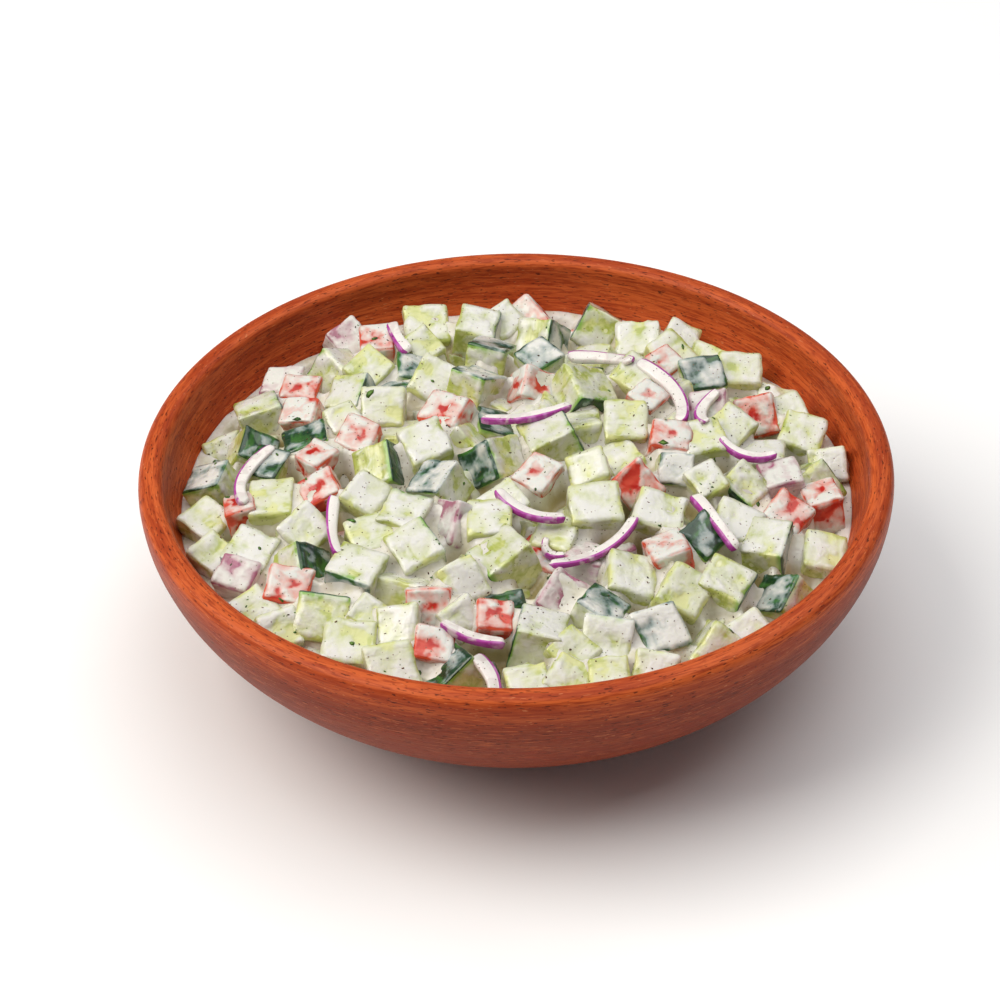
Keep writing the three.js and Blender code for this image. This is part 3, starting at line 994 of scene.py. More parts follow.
@dataclass
class Heap:
    """The shape of the heap and the dice in it, in two layers.

    Attributes:
        edge_radius: where the heap meets the wall.
        edge: height of the dice's tops there.
        crown: height of the tops in the middle.
        die: usual edge of a scattered die.
        die_spread: how far that edge varies either way.
        least_drop: how far below the heap's surface a scattered die lies at least.
        drop_spread: how much further it may lie.
        spacing: least distance from one die's middle to the next.
        limit: how far from the axis the middle of a scattered die may be.
        lower_drop: how much further down the lower layer lies.
        lower_clearance: least distance of its dice from those above.
        tries: how many dice are dropped for each layer.
        tilt: largest lean of a die in the upper layer, in degrees.
        lower_tilt: largest lean in the lower layer.
        seed: of the upper layer. The lower one has the next.
    """

    edge_radius: float = 90.0
    edge: float = 49.0
    crown: float = 61.0
    die: float = 11.8
    die_spread: float = 1.4
    least_drop: float = 3.0
    drop_spread: float = 3.5
    spacing: float = 10.8
    limit: float = 84.0
    lower_drop: float = 4.5
    lower_clearance: float = 6.0
    tries: int = 4000
    tilt: float = 50.0
    lower_tilt: float = 70.0
    seed: int = 20

    def height(self, radius: np.ndarray) -> np.ndarray:
        """Height of the tops of the dice: a parabola from the crown down to the edge."""
        return self.edge + (self.crown - self.edge) * (1 - (radius / self.edge_radius) ** 2)

    def scatter(
        self, taken: list[tuple[float, ...]], clearance: float, seed: int, tilt: float
    ) -> list[tuple[float, ...]]:
        """Dice dropped at random and kept where there is room.

        Args:
            taken: dice that are there already.
            clearance: least distance to one of those.
            seed: of the draws.
            tilt: largest lean of the first face from straight up, in degrees.

        Returns:
            Rows like those above, with a drop below the tops of the others at the end.
        """
        draw = make_random(seed)
        kept: list[tuple[float, ...]] = []
        for _ in range(self.tries):
            distance = self.limit * math.sqrt(draw())
            bearing = 2 * math.pi * draw()
            facing, rise, spin = 360 * draw(), 90 - tilt * draw(), 90 * draw()
            size = self.die + self.die_spread * (2 * draw() - 1)
            drop = self.least_drop + self.drop_spread * draw()
            x, y = distance * math.cos(bearing), distance * math.sin(bearing)
            free = all(math.hypot(row[0] - x, row[1] - y) > clearance for row in taken)
            if free and all(math.hypot(row[0] - x, row[1] - y) > self.spacing for row in kept):
                kept.append((x, y, facing, rise, spin, size, drop))
        return kept

    def dice(self) -> dict[Kind, np.ndarray]:
        """All dice of the heap by kind.

        Returns:
            Arrays whose rows are x, y, facing, rise, spin, size and drop below the heap's surface.
        """
        rows = {kind: [(*row, 0.0) for row in placed] for kind, placed in PLACED_DICE.items()}
        placed = [row for group in PLACED_DICE.values() for row in group]
        top = self.scatter(placed, self.spacing, self.seed, self.tilt)
        low = self.scatter(placed + top, self.lower_clearance, self.seed + 1, self.lower_tilt)
        loose = top + [(*row[:6], row[6] + self.lower_drop) for row in low]
        draw = np.random.default_rng(self.seed)
        kinds = list(Kind)
        shares = np.array([kind.value for kind in kinds])
        for row, pick in zip(loose, draw.choice(len(kinds), len(loose), p=shares / shares.sum())):
            rows[kinds[pick]].append(row)
        return {kind: np.array(group, float) for kind, group in rows.items()}

    def poses(self, rows: np.ndarray) -> tuple[np.ndarray, np.ndarray, np.ndarray]:
        """Places dice so that their highest corners stand near the heap's surface.

        Args:
            rows: as dice() gives them.

        Returns:
            Centres, rotations and half edges.
        """
        rotation = turn_matrices(rows[:, 2], rows[:, 3], rows[:, 4])
        half = rows[:, 5] / 2
        top = np.abs(rotation[:, 2]).sum(1) * half
        z = self.height(np.hypot(rows[:, 0], rows[:, 1])) - (top + half) / 2 - rows[:, 6]
        return np.stack([rows[:, 0], rows[:, 1], z], -1), rotation, half


@dataclass
class Relief:
    """A height map of the heap on a square grid round the axis.

    Attributes:
        reach: half the grid's side.
        pitch: distance of its points.
        bottom: height where there are no dice.
        counted: radius beyond which a blur counts nothing.
    """

    reach: float = 96.0
    pitch: float = 0.5
    bottom: float = 30.0
    counted: float = 88.0

    def __post_init__(self) -> None:
        """Starts with nothing on the map."""
        self.count = int(2 * self.reach / self.pitch) + 1
        self.heights = np.full((self.count, self.count), self.bottom)

    def axis(self) -> np.ndarray:
        """The grid's coordinates along one side."""
        return np.linspace(-self.reach, self.reach, self.count)

    def add_boxes(self, centres: np.ndarray, rotations: np.ndarray, halves: np.ndarray) -> None:
        """Raises the map to the tops of turned cubes.

        A vertical line meets a cube where it is between all three pairs of its planes: in the cube's
        own directions the line is a + t b, so t lies between (-h - a) / b and (h - a) / b for each.

        Args:
            centres: of the cubes.
            rotations: of the cubes.
            halves: half edges.
        """
        axis = self.axis()
        for centre, rotation, half in zip(centres, rotations, halves):
            span = half * 1.8
            first = np.searchsorted(axis, centre[:2] - span)
            last = np.searchsorted(axis, centre[:2] + span)
            xs, ys = np.meshgrid(axis[first[0]:last[0]], axis[first[1]:last[1]], indexing="ij")
            flat = np.stack([xs - centre[0], ys - centre[1], np.zeros_like(xs)], -1)
            start = flat @ rotation
            slope = rotation[2] + 1e-9
            ends = np.stack([(-half - start) / slope, (half - start) / slope])
            enter = ends.min(0).max(-1)
            leave = ends.max(0).min(-1)
            top = np.where(leave >= enter, centre[2] + leave, self.bottom)
            window = self.heights[first[0]:last[0], first[1]:last[1]]
            np.maximum(window, top, out=window)

    def blurred(self, field_values: np.ndarray, sigma: float) -> np.ndarray:
        """A map smoothed by a bell curve, by way of its spectrum.

        Args:
            field_values: the map.
            sigma: the bell curve's width in millimetres.

        Returns:
            The weighted means of what lies inside the wall. It holds a little way past the radius
            `counted`, beyond which nothing is counted.
        """
        axis = self.axis()
        inside = (np.hypot(*np.meshgrid(axis, axis, indexing="ij")) < self.counted).astype(float)
        waves = np.fft.fftfreq(self.count, self.pitch)
        half_waves = np.fft.rfftfreq(self.count, self.pitch)
        decay = np.exp(-2 * (math.pi * sigma) ** 2 * (waves[:, None] ** 2 + half_waves[None] ** 2))

        def smooth(values: np.ndarray) -> np.ndarray:
            """The smoothed values."""
            return np.fft.irfft2(np.fft.rfft2(values) * decay, values.shape)

        return smooth(field_values * inside) / np.maximum(smooth(inside), 1e-3)

    def rolled(self, field_values: np.ndarray, radius: float, above: bool) -> np.ndarray:
        """The lowest position of a ball resting on a map, or the highest of one held under it.

        Args:
            field_values: the map.
            radius: of the ball.
            above: whether the ball lies on the map.

        Returns:
            The ball's own height over each point, less or plus its radius. The map is shifted over
            each cell of the ball, by that cell's share of the ball's height.
        """
        reach = int(radius / self.pitch)
        steps = range(-reach, reach + 1)
        padded = np.pad(field_values, reach, mode="edge")
        result = np.full_like(field_values, -np.inf if above else np.inf)
        for i in steps:
            for j in steps:
                rest = radius ** 2 - (i * i + j * j) * self.pitch ** 2
                if rest < 0:
                    continue
                lift = math.sqrt(rest) - radius
                window = padded[reach + i:reach + i + self.count, reach + j:reach + j + self.count]
                result = np.maximum(result, window + lift) if above else np.minimum(result, window - lift)
        return result

    def sample(self, field_values: np.ndarray, x: np.ndarray, y: np.ndarray) -> np.ndarray:
        """A map's values between its grid points.

        Args:
            field_values: the map.
            x: places in millimetres.
            y: places in millimetres.

        Returns:
            One value a place, mixed from the four grid points round it.
        """
        across = np.clip((x + self.reach) / self.pitch, 0, self.count - 1.001)
        along = np.clip((y + self.reach) / self.pitch, 0, self.count - 1.001)
        i, j = across.astype(int), along.astype(int)
        u, v = across - i, along - j
        return (field_values[i, j] * (1 - u) * (1 - v) + field_values[i + 1, j] * u * (1 - v)
                + field_values[i, j + 1] * (1 - u) * v + field_values[i + 1, j + 1] * u * v)


# ---- The pieces of the salad ----

@dataclass
class DressingLevel:
    """The surface of the dressing: a pool between the dice, with a fillet against each of them.

    Attributes:
        relief: the tops of the dice.
        spread: width of the bell curve that turns those tops into the pool.
        drop: how far the pool lies below them.
        fillet: radius of the fillets.
        sink: how far the surface is lowered where it would cover a die.
        wave: height of the pool's own waves.
        erosion: how far the surface is drawn in.
        softening: width of the last blur.
        outer_softening: width of that blur near the wall.
        edge_height: height of the shore on the wall.
        edge_wave: how much the shore rises and sinks.
    """

    relief: Relief
    spread: float = 3.6
    drop: float = 6.6
    fillet: float = 1.9
    sink: float = 0.3
    wave: float = 0.8
    erosion: float = 1.005
    softening: float = 0.5
    outer_softening: float = 2.2
    edge_height: float = 43.0
    edge_wave: float = 0.7

    def __post_init__(self) -> None:
        """Works the surface out once.

        The pool is the smoothed top of the heap less a drop. A ball rolled over the dice and the
        pool can't reach into their creases, and what it leaves free is filled. The result is sunk a
        little and drawn in, so that it stays inside the dice where it would cover them. Towards the
        wall it is smoothed more, and it passes into the shore, which is nearly level.
        """
        axis = self.relief.axis()
        xs, ys = np.meshgrid(axis, axis, indexing="ij")
        cover = self.relief.heights
        flat = np.stack([xs, ys, np.zeros_like(xs)], -1)
        pool = self.relief.blurred(cover, self.spread) - self.drop
        pool = pool + self.wave * fractal_noise(flat / 7.0, 11)
        top = np.maximum(cover, pool)
        filled = self.relief.rolled(self.relief.rolled(top, self.fillet, True), self.fillet, False)
        filled = self.relief.rolled(filled - self.sink, self.erosion, False)
        level = self.relief.blurred(filled, self.softening)
        smoother = np.minimum(level, self.relief.blurred(level, self.outer_softening))
        radius = np.hypot(xs, ys)
        outer, wall = smooth_step(radius, 74, 83), smooth_step(radius, 81, 87.5)
        level = level * (1 - outer) + smoother * outer
        shore = self.edge_height + self.edge_wave * fractal_noise(flat / 11.0, 12)
        self.pool = pool * (1 - wall) + shore * wall
        # The smoothed tops of the dice, from which the depth for the dressing's painted shade is measured.
        self.tops = self.relief.blurred(self.relief.rolled(cover, 4.0, True), 2.5)
        self.map = level * (1 - wall) + shore * wall

    def at(self, x: np.ndarray, y: np.ndarray) -> np.ndarray:
        """Height of the dressing's surface."""
        return self.relief.sample(self.map, x, y)

    def pool_at(self, x: np.ndarray, y: np.ndarray) -> np.ndarray:
        """Height of the pool between the dice."""
        return self.relief.sample(self.pool, x, y)


@dataclass
class Dice:
    """Dice of one kind: rounded boxes cut a little askew, with the film on them as relief.

    Attributes:
        name: the piece's name.
        rounding: radius of the edges as a share of half a die.
        askew: how far the corners lean from square, as such a share.
        film: thickness of the film where it is thickest.
        bumps: height of the cut faces' bumps.
        seed: of this kind's draws.
        steps: cells along a side of a face.
    """

    name: str
    rounding: float
    askew: float
    film: float
    bumps: float
    seed: int
    steps: int = 12

    def template(self) -> tuple[np.ndarray, np.ndarray, np.ndarray]:
        """A rounded cube from -1 to 1.

        Each face is a grid of two parameters, closer together near the edges. A point of the cube is
        moved onto the rounding: to its nearest point of a smaller cube, plus the rounding's radius in
        the direction away from it.

        Returns:
            Points, outward directions and quads.
        """
        side = np.sin(np.linspace(-math.pi / 2, math.pi / 2, self.steps + 1))
        u, v = np.meshgrid(side, side, indexing="ij")
        one = np.ones_like(u)
        sheets = [(u, v, one), (v, u, -one), (one, u, v), (-one, v, u), (v, one, u), (u, -one, v)]
        points = np.concatenate([np.stack(sheet, -1).reshape(-1, 3) for sheet in sheets])
        quads = repeat_faces(grid_faces(self.steps), (self.steps + 1) ** 2, len(sheets))
        points, merged = np.unique(np.round(points, 6), axis=0, return_inverse=True)
        inner = np.clip(points, self.rounding - 1, 1 - self.rounding)
        away = points - inner
        away /= np.linalg.norm(away, axis=1, keepdims=True)
        return inner + away * self.rounding, away, merged.reshape(-1)[quads]

    def build(self, heap: Heap, rows: np.ndarray, level: DressingLevel, bowl: Bowl) -> bpy.types.Object:
        """The mesh of all dice of this kind.

        Args:
            heap: places them.
            rows: their rows.
            level: the dressing round them.
            bowl: keeps them in.

        Returns:
            The piece, with the attributes "local" (the point in the cube from -1 to 1), "grain" (the
            same in millimetres, shifted for each die) and "coat".
        """
        shape, away, quads = self.template()
        centres, rotations, halves = heap.poses(rows)
        count = len(rows)
        draw = np.random.default_rng(self.seed)
        stretch = 1 + 0.05 * draw.standard_normal((count, 1, 3)).clip(-1.5, 1.5)
        skew = np.eye(3) + self.askew * draw.uniform(-1, 1, (count, 3, 3))
        local = (shape[None] * stretch) @ skew.transpose(0, 2, 1)
        points = centres[:, None] + (local * halves[:, None, None]) @ rotations.transpose(0, 2, 1)
        outwards = away[None] @ rotations.transpose(0, 2, 1)
        patches = fractal_noise(points / 4.0, self.seed) + 0.5 * (outwards[..., 2] - 0.35)
        film = smooth_step(patches, -0.25, 0.35)
        bumps = fractal_noise(points / 3.2 + 40 * draw.random((count, 1, 3)), self.seed + 3)
        points = points + outwards * (self.film * film + self.bumps * bumps)[..., None]
        reach = np.hypot(points[..., 0], points[..., 1])
        room = bowl.inside(points[..., 2]) - 0.25
        points[..., :2] *= np.minimum(1, room / np.maximum(reach, 1e-6))[..., None]
        above = points[..., 2] - level.pool_at(points[..., 0], points[..., 1])
        own = np.broadcast_to(draw.uniform(-0.5, 0.5, (count, 1)), above.shape)
        grain = shape[None] * halves[:, None, None] + 90 * draw.random((count, 1, 3))
        return make_piece(self.name, points.reshape(-1, 3), [repeat_faces(quads, len(shape), count)], {
            "local": np.broadcast_to(shape, points.shape).reshape(-1, 3),
            "grain": grain.reshape(-1, 3),
            "coat": np.stack([film, above, own], -1).reshape(-1, 3)})


@dataclass
class OnionSlices:
    """Arc-shaped slices of red onion that lie on the dice.

    Attributes:
        lift: how far a slice's underside is above the dice under it, less than 0 where it sinks in.
        follow: how far a slice bends with the dice, from 0 for not at all to 1.
        high_share: the share of a slice's length that may lie deeper than that.
        largest_lean: largest tip of a slice about its own way, as a slope.
        rings: sections along a slice.
        around: points of a section.
        corner: power p of a section's outline.
        end_power: how suddenly a slice narrows at its ends.
        blunt_end: how much of its width is left there.
        seed: of the draws.
    """

    lift: float = -0.8
    follow: float = 0.5
    high_share: float = 0.8
    largest_lean: float = 0.25
    rings: int = 34
    around: int = 20
    corner: float = 4.0
    end_power: int = 16
    blunt_end: float = 0.1
    seed: int = 61

    def build(self, relief: Relief, level: DressingLevel) -> bpy.types.Object:
        """The mesh of all slices.

        Each is a rounded rectangle, |v|^p + |w|^p = 1, carried along an arc that sinks and rises
        with the tops of the dice under it, and drawn in at both ends.

        Args:
            relief: the tops of the dice.
            level: the dressing.

        Returns:
            The piece, with the attributes "slice" (the way along in millimetres, outwards and up) and
            "coat".
        """
        support = relief.blurred(relief.rolled(relief.heights, 3.0, True), 1.5)
        draw = np.random.default_rng(self.seed)
        way = np.linspace(-1, 1, self.rings)
        turn = np.arange(self.around) * 2 * math.pi / self.around
        out = np.sign(np.cos(turn)) * np.abs(np.cos(turn)) ** (2 / self.corner)
        up = np.sign(np.sin(turn)) * np.abs(np.sin(turn)) ** (2 / self.corner)
        end = np.sqrt(1 - np.abs(way) ** self.end_power) * (1 - self.blunt_end) + self.blunt_end
        points, slices = [], []
        for x, y, facing, radius, sweep, width, height in ONION_SLICES:
            look = math.radians(facing - 90)
            centre = np.array([x - radius * math.cos(look), y - radius * math.sin(look)])
            angle = look + way * math.radians(sweep) / 2
            middle = radius - width / 2
            path = centre + middle * np.stack([np.cos(angle), np.sin(angle)], -1)
            ground = relief.sample(support, path[:, 0], path[:, 1])
            bent = np.polyval(np.polyfit(way, ground, 2), way)
            stiff = ground.mean() + self.follow * (bent - ground.mean())
            z = stiff + np.quantile(ground - stiff, self.high_share) + height / 2 + self.lift
            half_width = width / 2 * end * (1 + 0.10 * np.sin(3 * way + 6 * draw.random()))
            half_height = height / 2 * end * (1 + 0.08 * np.sin(4 * way + 6 * draw.random()))
            lean = self.largest_lean * (2 * draw.random() - 1)
            r = middle + half_width[:, None] * out
            points.append(np.stack([
                centre[0] + r * np.cos(angle)[:, None], centre[1] + r * np.sin(angle)[:, None],
                z[:, None] + half_height[:, None] * up + lean * half_width[:, None] * out], -1))
            along = middle * np.radians(sweep) / 2 * way[:, None] + 50 * draw.random()
            slices.append(np.stack(np.broadcast_arrays(along, out[None], up[None]), -1))
        mesh_points = np.array(points)
        mesh_points[..., 2] += 0.12 * fractal_noise(mesh_points / 2.5, self.seed)
        above = mesh_points[..., 2] - level.pool_at(mesh_points[..., 0], mesh_points[..., 1])
        film = smooth_step(fractal_noise(mesh_points / 4.0, self.seed), 0.0, 0.3)
        coat = np.stack([film, above, np.zeros_like(above)], -1)
        count = len(ONION_SLICES)
        size = self.rings * self.around
        caps = np.stack([np.arange(self.around)[::-1], np.arange(self.around) + size - self.around])
        return make_piece(
            "red_onion_slices", mesh_points.reshape(-1, 3),
            [repeat_faces(tube_faces(self.rings, self.around)[:, ::-1], size, count),
             repeat_faces(caps[:, ::-1], size, count)],
            {"slice": np.array(slices).reshape(-1, 3), "coat": coat.reshape(-1, 3)})


@dataclass
class Dressing:
    """The dressing with the unseen middle of the heap: one closed body on the bowl's inside.

    Attributes:
        cells: of the top, along a side.
        wall_rings: rings of points down the wall.
        press: how far the top's edge reaches into the wall, so that no gap shows.
        above_floor: how far the lowest ring is above the bowl's floor.
    """

    cells: int = 296
    wall_rings: int = 5
    press: float = 0.12
    above_floor: float = 0.4

    def build(
        self, level: DressingLevel, bowl: Bowl, finish: DressingFinish
    ) -> bpy.types.Object:
        """The mesh.

        The top is a square grid (u, v) drawn into a disc, x = u sqrt(1 - v^2 / 2) and
        y = v sqrt(1 - u^2 / 2), lifted to the dressing's level. Its edge lies on the wall, and rings
        follow the wall down from there.

        Args:
            level: the dressing's surface.
            bowl: the wall.
            finish: the dressing.

        Returns:
            The piece.
        """
        side = np.linspace(-1, 1, self.cells + 1)
        u, v = np.meshgrid(side, side, indexing="ij")
        x, y = u * np.sqrt(1 - v * v / 2), v * np.sqrt(1 - u * u / 2)
        reach = np.hypot(x, y)
        nowhere = np.maximum(reach, 1e-9)
        ray_x, ray_y = x / nowhere, y / nowhere
        shore = bowl.inside(np.full_like(x, level.edge_height))
        for _ in range(3):
            shore = bowl.inside(level.at(ray_x * shore, ray_y * shore)) + self.press
        top_x, top_y = x * shore, y * shore
        top = np.stack([top_x, top_y, level.at(top_x, top_y)], -1)
        row = self.cells + 1
        run = np.arange(self.cells)
        edge = np.concatenate([
            run * row, self.cells * row + run, (self.cells - run) * row + self.cells, self.cells - run])
        rim = top.reshape(-1, 3)[edge]
        direction = rim[:, :2] / np.linalg.norm(rim[:, :2], axis=1, keepdims=True)
        share = np.linspace(0, 1, self.wall_rings + 1)[1:, None]
        z = rim[None, :, 2] + (bowl.floor + self.above_floor - rim[None, :, 2]) * share ** 0.7
        radius = bowl.inside(z) - 0.05
        rings = np.stack([radius * direction[:, 0], radius * direction[:, 1], z], -1).reshape(-1, 3)
        around = len(edge)
        start = row * row
        upper_ring = start + np.arange(around)
        lower_ring = upper_ring + (self.wall_rings - 1) * around
        first = np.stack([edge, upper_ring, np.roll(upper_ring, -1), np.roll(edge, -1)], -1)
        walls = tube_faces(self.wall_rings, around)[:, ::-1] + start
        fan = fan_faces(lower_ring, start + self.wall_rings * around)[:, ::-1]
        bottom = [[0, 0, bowl.floor + self.above_floor - 0.05]]
        points = np.concatenate([top.reshape(-1, 3), rings, bottom])
        # Painted shade: "depth" is how far a point lies below the tops of the dice, and darkens the
        # dressing in the gaps between them; it fades out towards the wall.
        depth = level.relief.sample(level.tops, points[:, 0], points[:, 1]) - points[:, 2]
        depth *= 1 - smooth_step(np.hypot(points[:, 0], points[:, 1]), 84, 88)
        piece = make_piece(
            "dressing", points, [grid_faces(self.cells), first, walls, fan],
            {"depth": np.stack([depth, 0 * depth, 0 * depth], -1)})
        piece.data.materials.append(finish.build())
        return piece


@dataclass
class Flecks:
    """Small bits that stick to whatever shows: herb flecks or crumbs of pepper.

    Attributes:
        name: the piece's name.
        count: how many bits there are.
        smallest: size of the smallest.
        largest: size of the largest. Most are near the smallest.
        flatness: thickness as a share of the size.
        seed: of the draws.
    """

    name: str
    count: int
    smallest: float
    largest: float
    flatness: float
    seed: int

    def template(self) -> tuple[np.ndarray, np.ndarray]:
        """A double cone of eight sides, which is pulled out of shape for each copy.

        Returns:
            Points from -1 to 1, and triangles.
        """
        turn = np.arange(8) * math.pi / 4
        ring = np.stack([np.cos(turn), np.sin(turn), np.zeros(8)], -1)
        points = np.concatenate([ring, [[0, 0, 1], [0, 0, -1]]])
        upper, lower = fan_faces(np.arange(8), 8), fan_faces(np.arange(8), 9)[:, ::-1]
        return points, np.concatenate([upper, lower])

    def build(self, spots: np.ndarray, normals: np.ndarray, finish: PlainFinish) -> bpy.types.Object:
        """The mesh of all copies.

        Args:
            spots: places on the surface.
            normals: the surface's directions there.
            finish: their look.

        Returns:
            The piece.
        """
        draw = np.random.default_rng(self.seed)
        pick = draw.choice(len(spots), self.count, replace=False)
        spot, normal = spots[pick], normals[pick]
        shape, faces = self.template()
        size = self.smallest + (self.largest - self.smallest) * draw.random(self.count) ** 3
        ragged = draw.uniform(0.55, 1.15, (self.count, len(shape), 1))
        long = np.stack([draw.uniform(0.8, 1.5, self.count), draw.uniform(0.45, 0.9, self.count),
                         np.full(self.count, self.flatness)], -1)
        local = shape[None] * ragged * long[:, None] * size[:, None, None] / 2
        side = np.cross(normal, draw.standard_normal((self.count, 3)))
        side /= np.linalg.norm(side, axis=1, keepdims=True)
        axes = np.stack([side, np.cross(normal, side), normal], -1)
        points = spot[:, None] + local @ axes.transpose(0, 2, 1) + normal[:, None] * 0.05
        piece = make_piece(self.name, points.reshape(-1, 3), [repeat_faces(faces, len(shape), self.count)])
        piece.data.materials.append(finish.build())
        return piece


class Salad:
    """All of the salad: it works out the heap once and builds each piece from it."""

    def __init__(self, bowl: Bowl) -> None:
        """Lays out the dice and the dressing.

        Args:
            bowl: what holds the salad.
        """
        self.bowl = bowl
        self.heap = Heap()
        self.rows = self.heap.dice()
        self.relief = Relief()
        for rows in self.rows.values():
            self.relief.add_boxes(*self.heap.poses(rows))
        self.level = DressingLevel(self.relief)

    def dice(self) -> list[bpy.types.Object]:
        """Builds the dice.

        Returns:
            One piece for each kind.
        """
        cucumber, onion = CucumberFinish(), OnionFinish()
        kinds = {
            Kind.SKIN_ON_CUCUMBER: (Dice("cucumber_dice_with_skin", 0.11, 0.04, 0.45, 0.2, 71),
                                    cucumber.build("cucumber_with_skin", True)),
            Kind.CUCUMBER: (Dice("cucumber_dice", 0.14, 0.05, 0.5, 0.28, 72),
                            cucumber.build("cucumber_flesh", False)),
            Kind.TOMATO: (Dice("tomato_dice", 0.20, 0.06, 0.45, 0.3, 73), TomatoFinish().build()),
            Kind.ONION: (Dice("onion_dice", 0.16, 0.10, 0.45, 0.35, 74), onion.build_dice()),
        }
        pieces = []
        for kind, (maker, material) in kinds.items():
            piece = maker.build(self.heap, self.rows[kind], self.level, self.bowl)
            piece.data.materials.append(material)
            pieces.append(piece)
        return pieces

    def slices(self) -> bpy.types.Object:
        """Builds the onion slices.

        Returns:
            The piece.
        """
        piece = OnionSlices().build(self.relief, self.level)
        piece.data.materials.append(OnionFinish().build_slice())
        return piece

    def dressing(self) -> bpy.types.Object:
        """The dressing."""
        return Dressing().build(self.level, self.bowl, DressingFinish())

    def flecks(self, pieces: list[bpy.types.Object]) -> list[bpy.types.Object]:
        """Herb and pepper on the faces that show.

        A face shows if the highest face near the point just outside it is no higher than itself.

        Args:
            pieces: what the bits lie on.

        Returns:
            The pieces.
        """
        centres, normals, areas = [], [], []
        for piece in pieces:
            faces = piece.data.polygons
            centre, normal = np.empty(len(faces) * 3), np.empty(len(faces) * 3)
            area = np.empty(len(faces))
            faces.foreach_get("center", centre)
            faces.foreach_get("normal", normal)
            faces.foreach_get("area", area)
            centres.append(centre.reshape(-1, 3) / MM)
            normals.append(normal.reshape(-1, 3))
            areas.append(area)
        centre, normal, area = np.concatenate(centres), np.concatenate(normals), np.concatenate(areas)
        highest = np.zeros((self.relief.count, self.relief.count))

        def cell(points: np.ndarray) -> tuple[np.ndarray, np.ndarray]:
            """The cell of each point, on a grid twice as coarse as the relief's."""
            at = np.round((points[:, :2] + self.relief.reach) / self.relief.pitch / 2).astype(int)
            return at[:, 0], at[:, 1]

        np.maximum.at(highest, cell(centre), centre[:, 2])
        outside, margin, farthest = 1.0, 0.7, 87.0
        open_air = highest[cell(centre + normal * outside)] < centre[:, 2] + margin
        near = np.hypot(centre[:, 0], centre[:, 1]) < farthest
        shown = open_air & (normal[:, 2] > -0.2) & near
        chance = area * shown * np.clip(normal[:, 2], 0.02, 1)
        candidates, herb_candidates = 4000, 1200
        draw = np.random.default_rng(83)
        pick = draw.choice(len(centre), candidates, replace=False, p=chance / chance.sum())
        spots, ways = centre[pick], normal[pick]
        level_face = shown & (normal[:, 2] > 0.5)
        nearest = [np.argmin(np.where(level_face, np.hypot(*(centre[:, :2] - place).T), np.inf))
                   for place in HERB_LEAVES]
        for_herbs, for_pepper = slice(None, herb_candidates), slice(herb_candidates, None)
        leaves = Flecks("herb_leaves", len(nearest), 3.2, 4.4, 0.08, 86)
        herbs = Flecks("herb_flecks", 170, 0.5, 2.6, 0.10, 84)
        pepper = Flecks("pepper_specks", 1500, 0.30, 0.80, 0.5, 85)
        leaf_look = PlainFinish("leaf", (52, 98, 30), (84, 132, 44), 0.35)
        herb_look = PlainFinish("herb", (46, 84, 30), (96, 132, 52), 0.4)
        pepper_look = PlainFinish("pepper", (34, 26, 22), (112, 70, 44), 0.6)
        return [
            leaves.build(centre[nearest], normal[nearest], leaf_look),
            herbs.build(spots[for_herbs], ways[for_herbs], herb_look),
            pepper.build(spots[for_pepper], ways[for_pepper], pepper_look),
        ]


# ---- The photograph's view ----

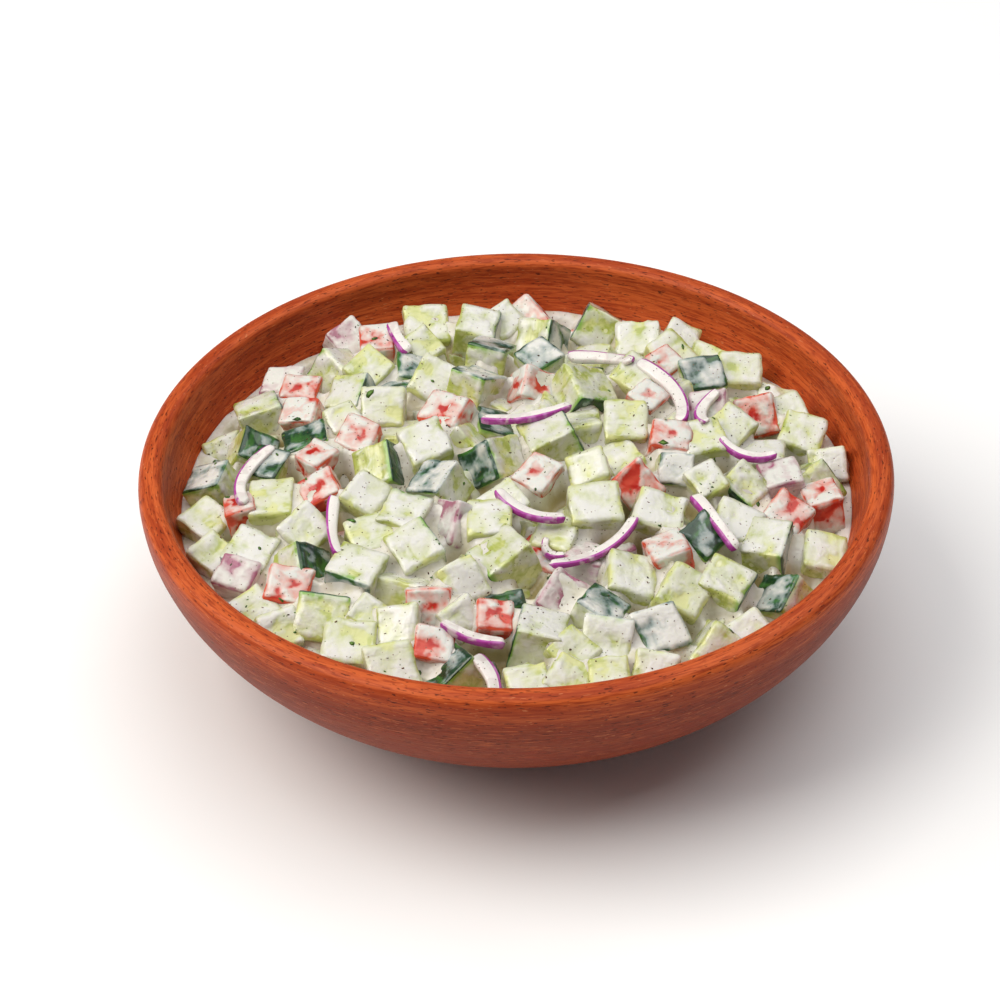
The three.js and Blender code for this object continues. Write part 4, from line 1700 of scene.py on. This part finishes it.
@dataclass
class Studio:
    """A pale floor, soft light from the upper left, and the camera at the photograph's angle."""

    elevation: float = 36.4
    distance: float = 700.0
    focal_px: float = 2638.0
    frame_px: float = 1000.0
    rim_centre_px: tuple[float, float] = (515.5, 450.5)
    roll: float = 0.72
    sensor_mm: float = 36.0
    surroundings: float = 0.16

    def camera(self, aim_height: float) -> bpy.types.Object:
        """The camera, turned so that the rim's centre falls on its own pixel.

        Args:
            aim_height: height of the rim's centre in millimetres.

        Returns:
            The camera.
        """
        data = bpy.data.cameras.new("camera")
        data.sensor_width = self.sensor_mm
        data.lens = self.focal_px / self.frame_px * self.sensor_mm
        data.clip_start = 0.01
        camera = bpy.data.objects.new("camera", data)
        tilt = math.radians(self.elevation)
        away, up = self.distance * math.cos(tilt), self.distance * math.sin(tilt)
        place = Vector((0, -away, aim_height + up)) * MM
        aside = math.atan((self.rim_centre_px[0] - self.frame_px / 2) / self.focal_px)
        below = math.atan((self.frame_px / 2 - self.rim_centre_px[1]) / self.focal_px)
        camera.matrix_world = (
            Matrix.Translation(place)
            @ Matrix.Rotation(math.pi / 2 - tilt, 4, "X")
            @ Matrix.Rotation(math.radians(-self.roll), 4, "Z")
            @ Matrix.Rotation(aside, 4, "Y")
            @ Matrix.Rotation(-below, 4, "X"))
        bpy.context.scene.collection.objects.link(camera)
        bpy.context.scene.camera = camera
        return camera

    def lamp(self, name: str, place: Triple, size: float, power: float, color: Rgb) -> None:
        """A square area light aimed at the bowl.

        Args:
            name: the light's name.
            place: in metres.
            size: edge in metres.
            power: in watts.
            color: screen colour.
        """
        data = bpy.data.lights.new(name, "AREA")
        data.shape = "SQUARE"
        data.size = size
        data.energy = power
        data.color = linear(color)[:3]
        lamp = bpy.data.objects.new(name, data)
        lamp.location = place
        aim = Vector((0, 0, 0.04)) - Vector(place)
        lamp.rotation_euler = aim.to_track_quat("-Z", "Y").to_euler()
        bpy.context.scene.collection.objects.link(lamp)

    def floor(self) -> bpy.types.Object:
        """Lays a pale floor with a faint mottle.

        Returns:
            The floor.
        """
        reach = 3000.0
        points = np.array([[-reach, -reach, 0], [reach, -reach, 0], [reach, reach, 0], [-reach, reach, 0]])
        piece = make_piece("floor", points, [np.array([[0, 1, 2, 3]])])
        graph = Graph("pale_floor", {"IOR": 1.3})
        cloud = graph.noise(graph.place_mm(), 40.0)
        color = graph.mix(cloud, (250, 250, 250), (247, 247, 247))
        piece.data.materials.append(graph.finish(color, 0.9, cloud, 0.01))
        return piece

    def build(self, aim_height: float) -> None:
        """Sets up the camera, the floor and the light.

        Args:
            aim_height: height of the rim's centre in millimetres.
        """
        self.camera(aim_height)
        self.floor()
        self.lamp("key", (-0.92, -0.16, 1.12), 1.1, 18, (255, 250, 243))
        self.lamp("top", (0.25, 0.2, 1.3), 1.6, 14, (255, 255, 255))
        world = bpy.data.worlds.new("world")
        world.use_nodes = True
        background = world.node_tree.nodes["Background"]
        background.inputs["Color"].default_value = (1, 1, 1, 1)
        background.inputs["Strength"].default_value = self.surroundings
        bpy.context.scene.world = world
        bpy.context.scene.view_settings.view_transform = "Standard"


# ---- Putting it together ----


def main() -> None:
    """Builds the bowl, the salad and the studio in order and reports each piece."""
    low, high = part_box("bowl")
    bowl = Bowl(height=high.z / MM, rim_radius=(high.x - low.x) / 2 / MM)
    wooden = bowl.build(WoodFinish())
    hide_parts("bowl")
    salad = Salad(bowl)
    pieces = salad.dice() + [salad.slices(), salad.dressing()]
    pieces += salad.flecks(pieces)
    for piece in pieces:
        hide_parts("salad")
    for piece in [wooden, *pieces]:
        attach(piece, "root")
        triangles = sum(len(face.vertices) - 2 for face in piece.data.polygons)
        LOG.info("%s: %d triangles", piece.name, triangles)
    Studio().build(bowl.height)


if __name__ == "__main__":
    logging.basicConfig(level=logging.INFO, format="%(name)s: %(message)s")
    main()
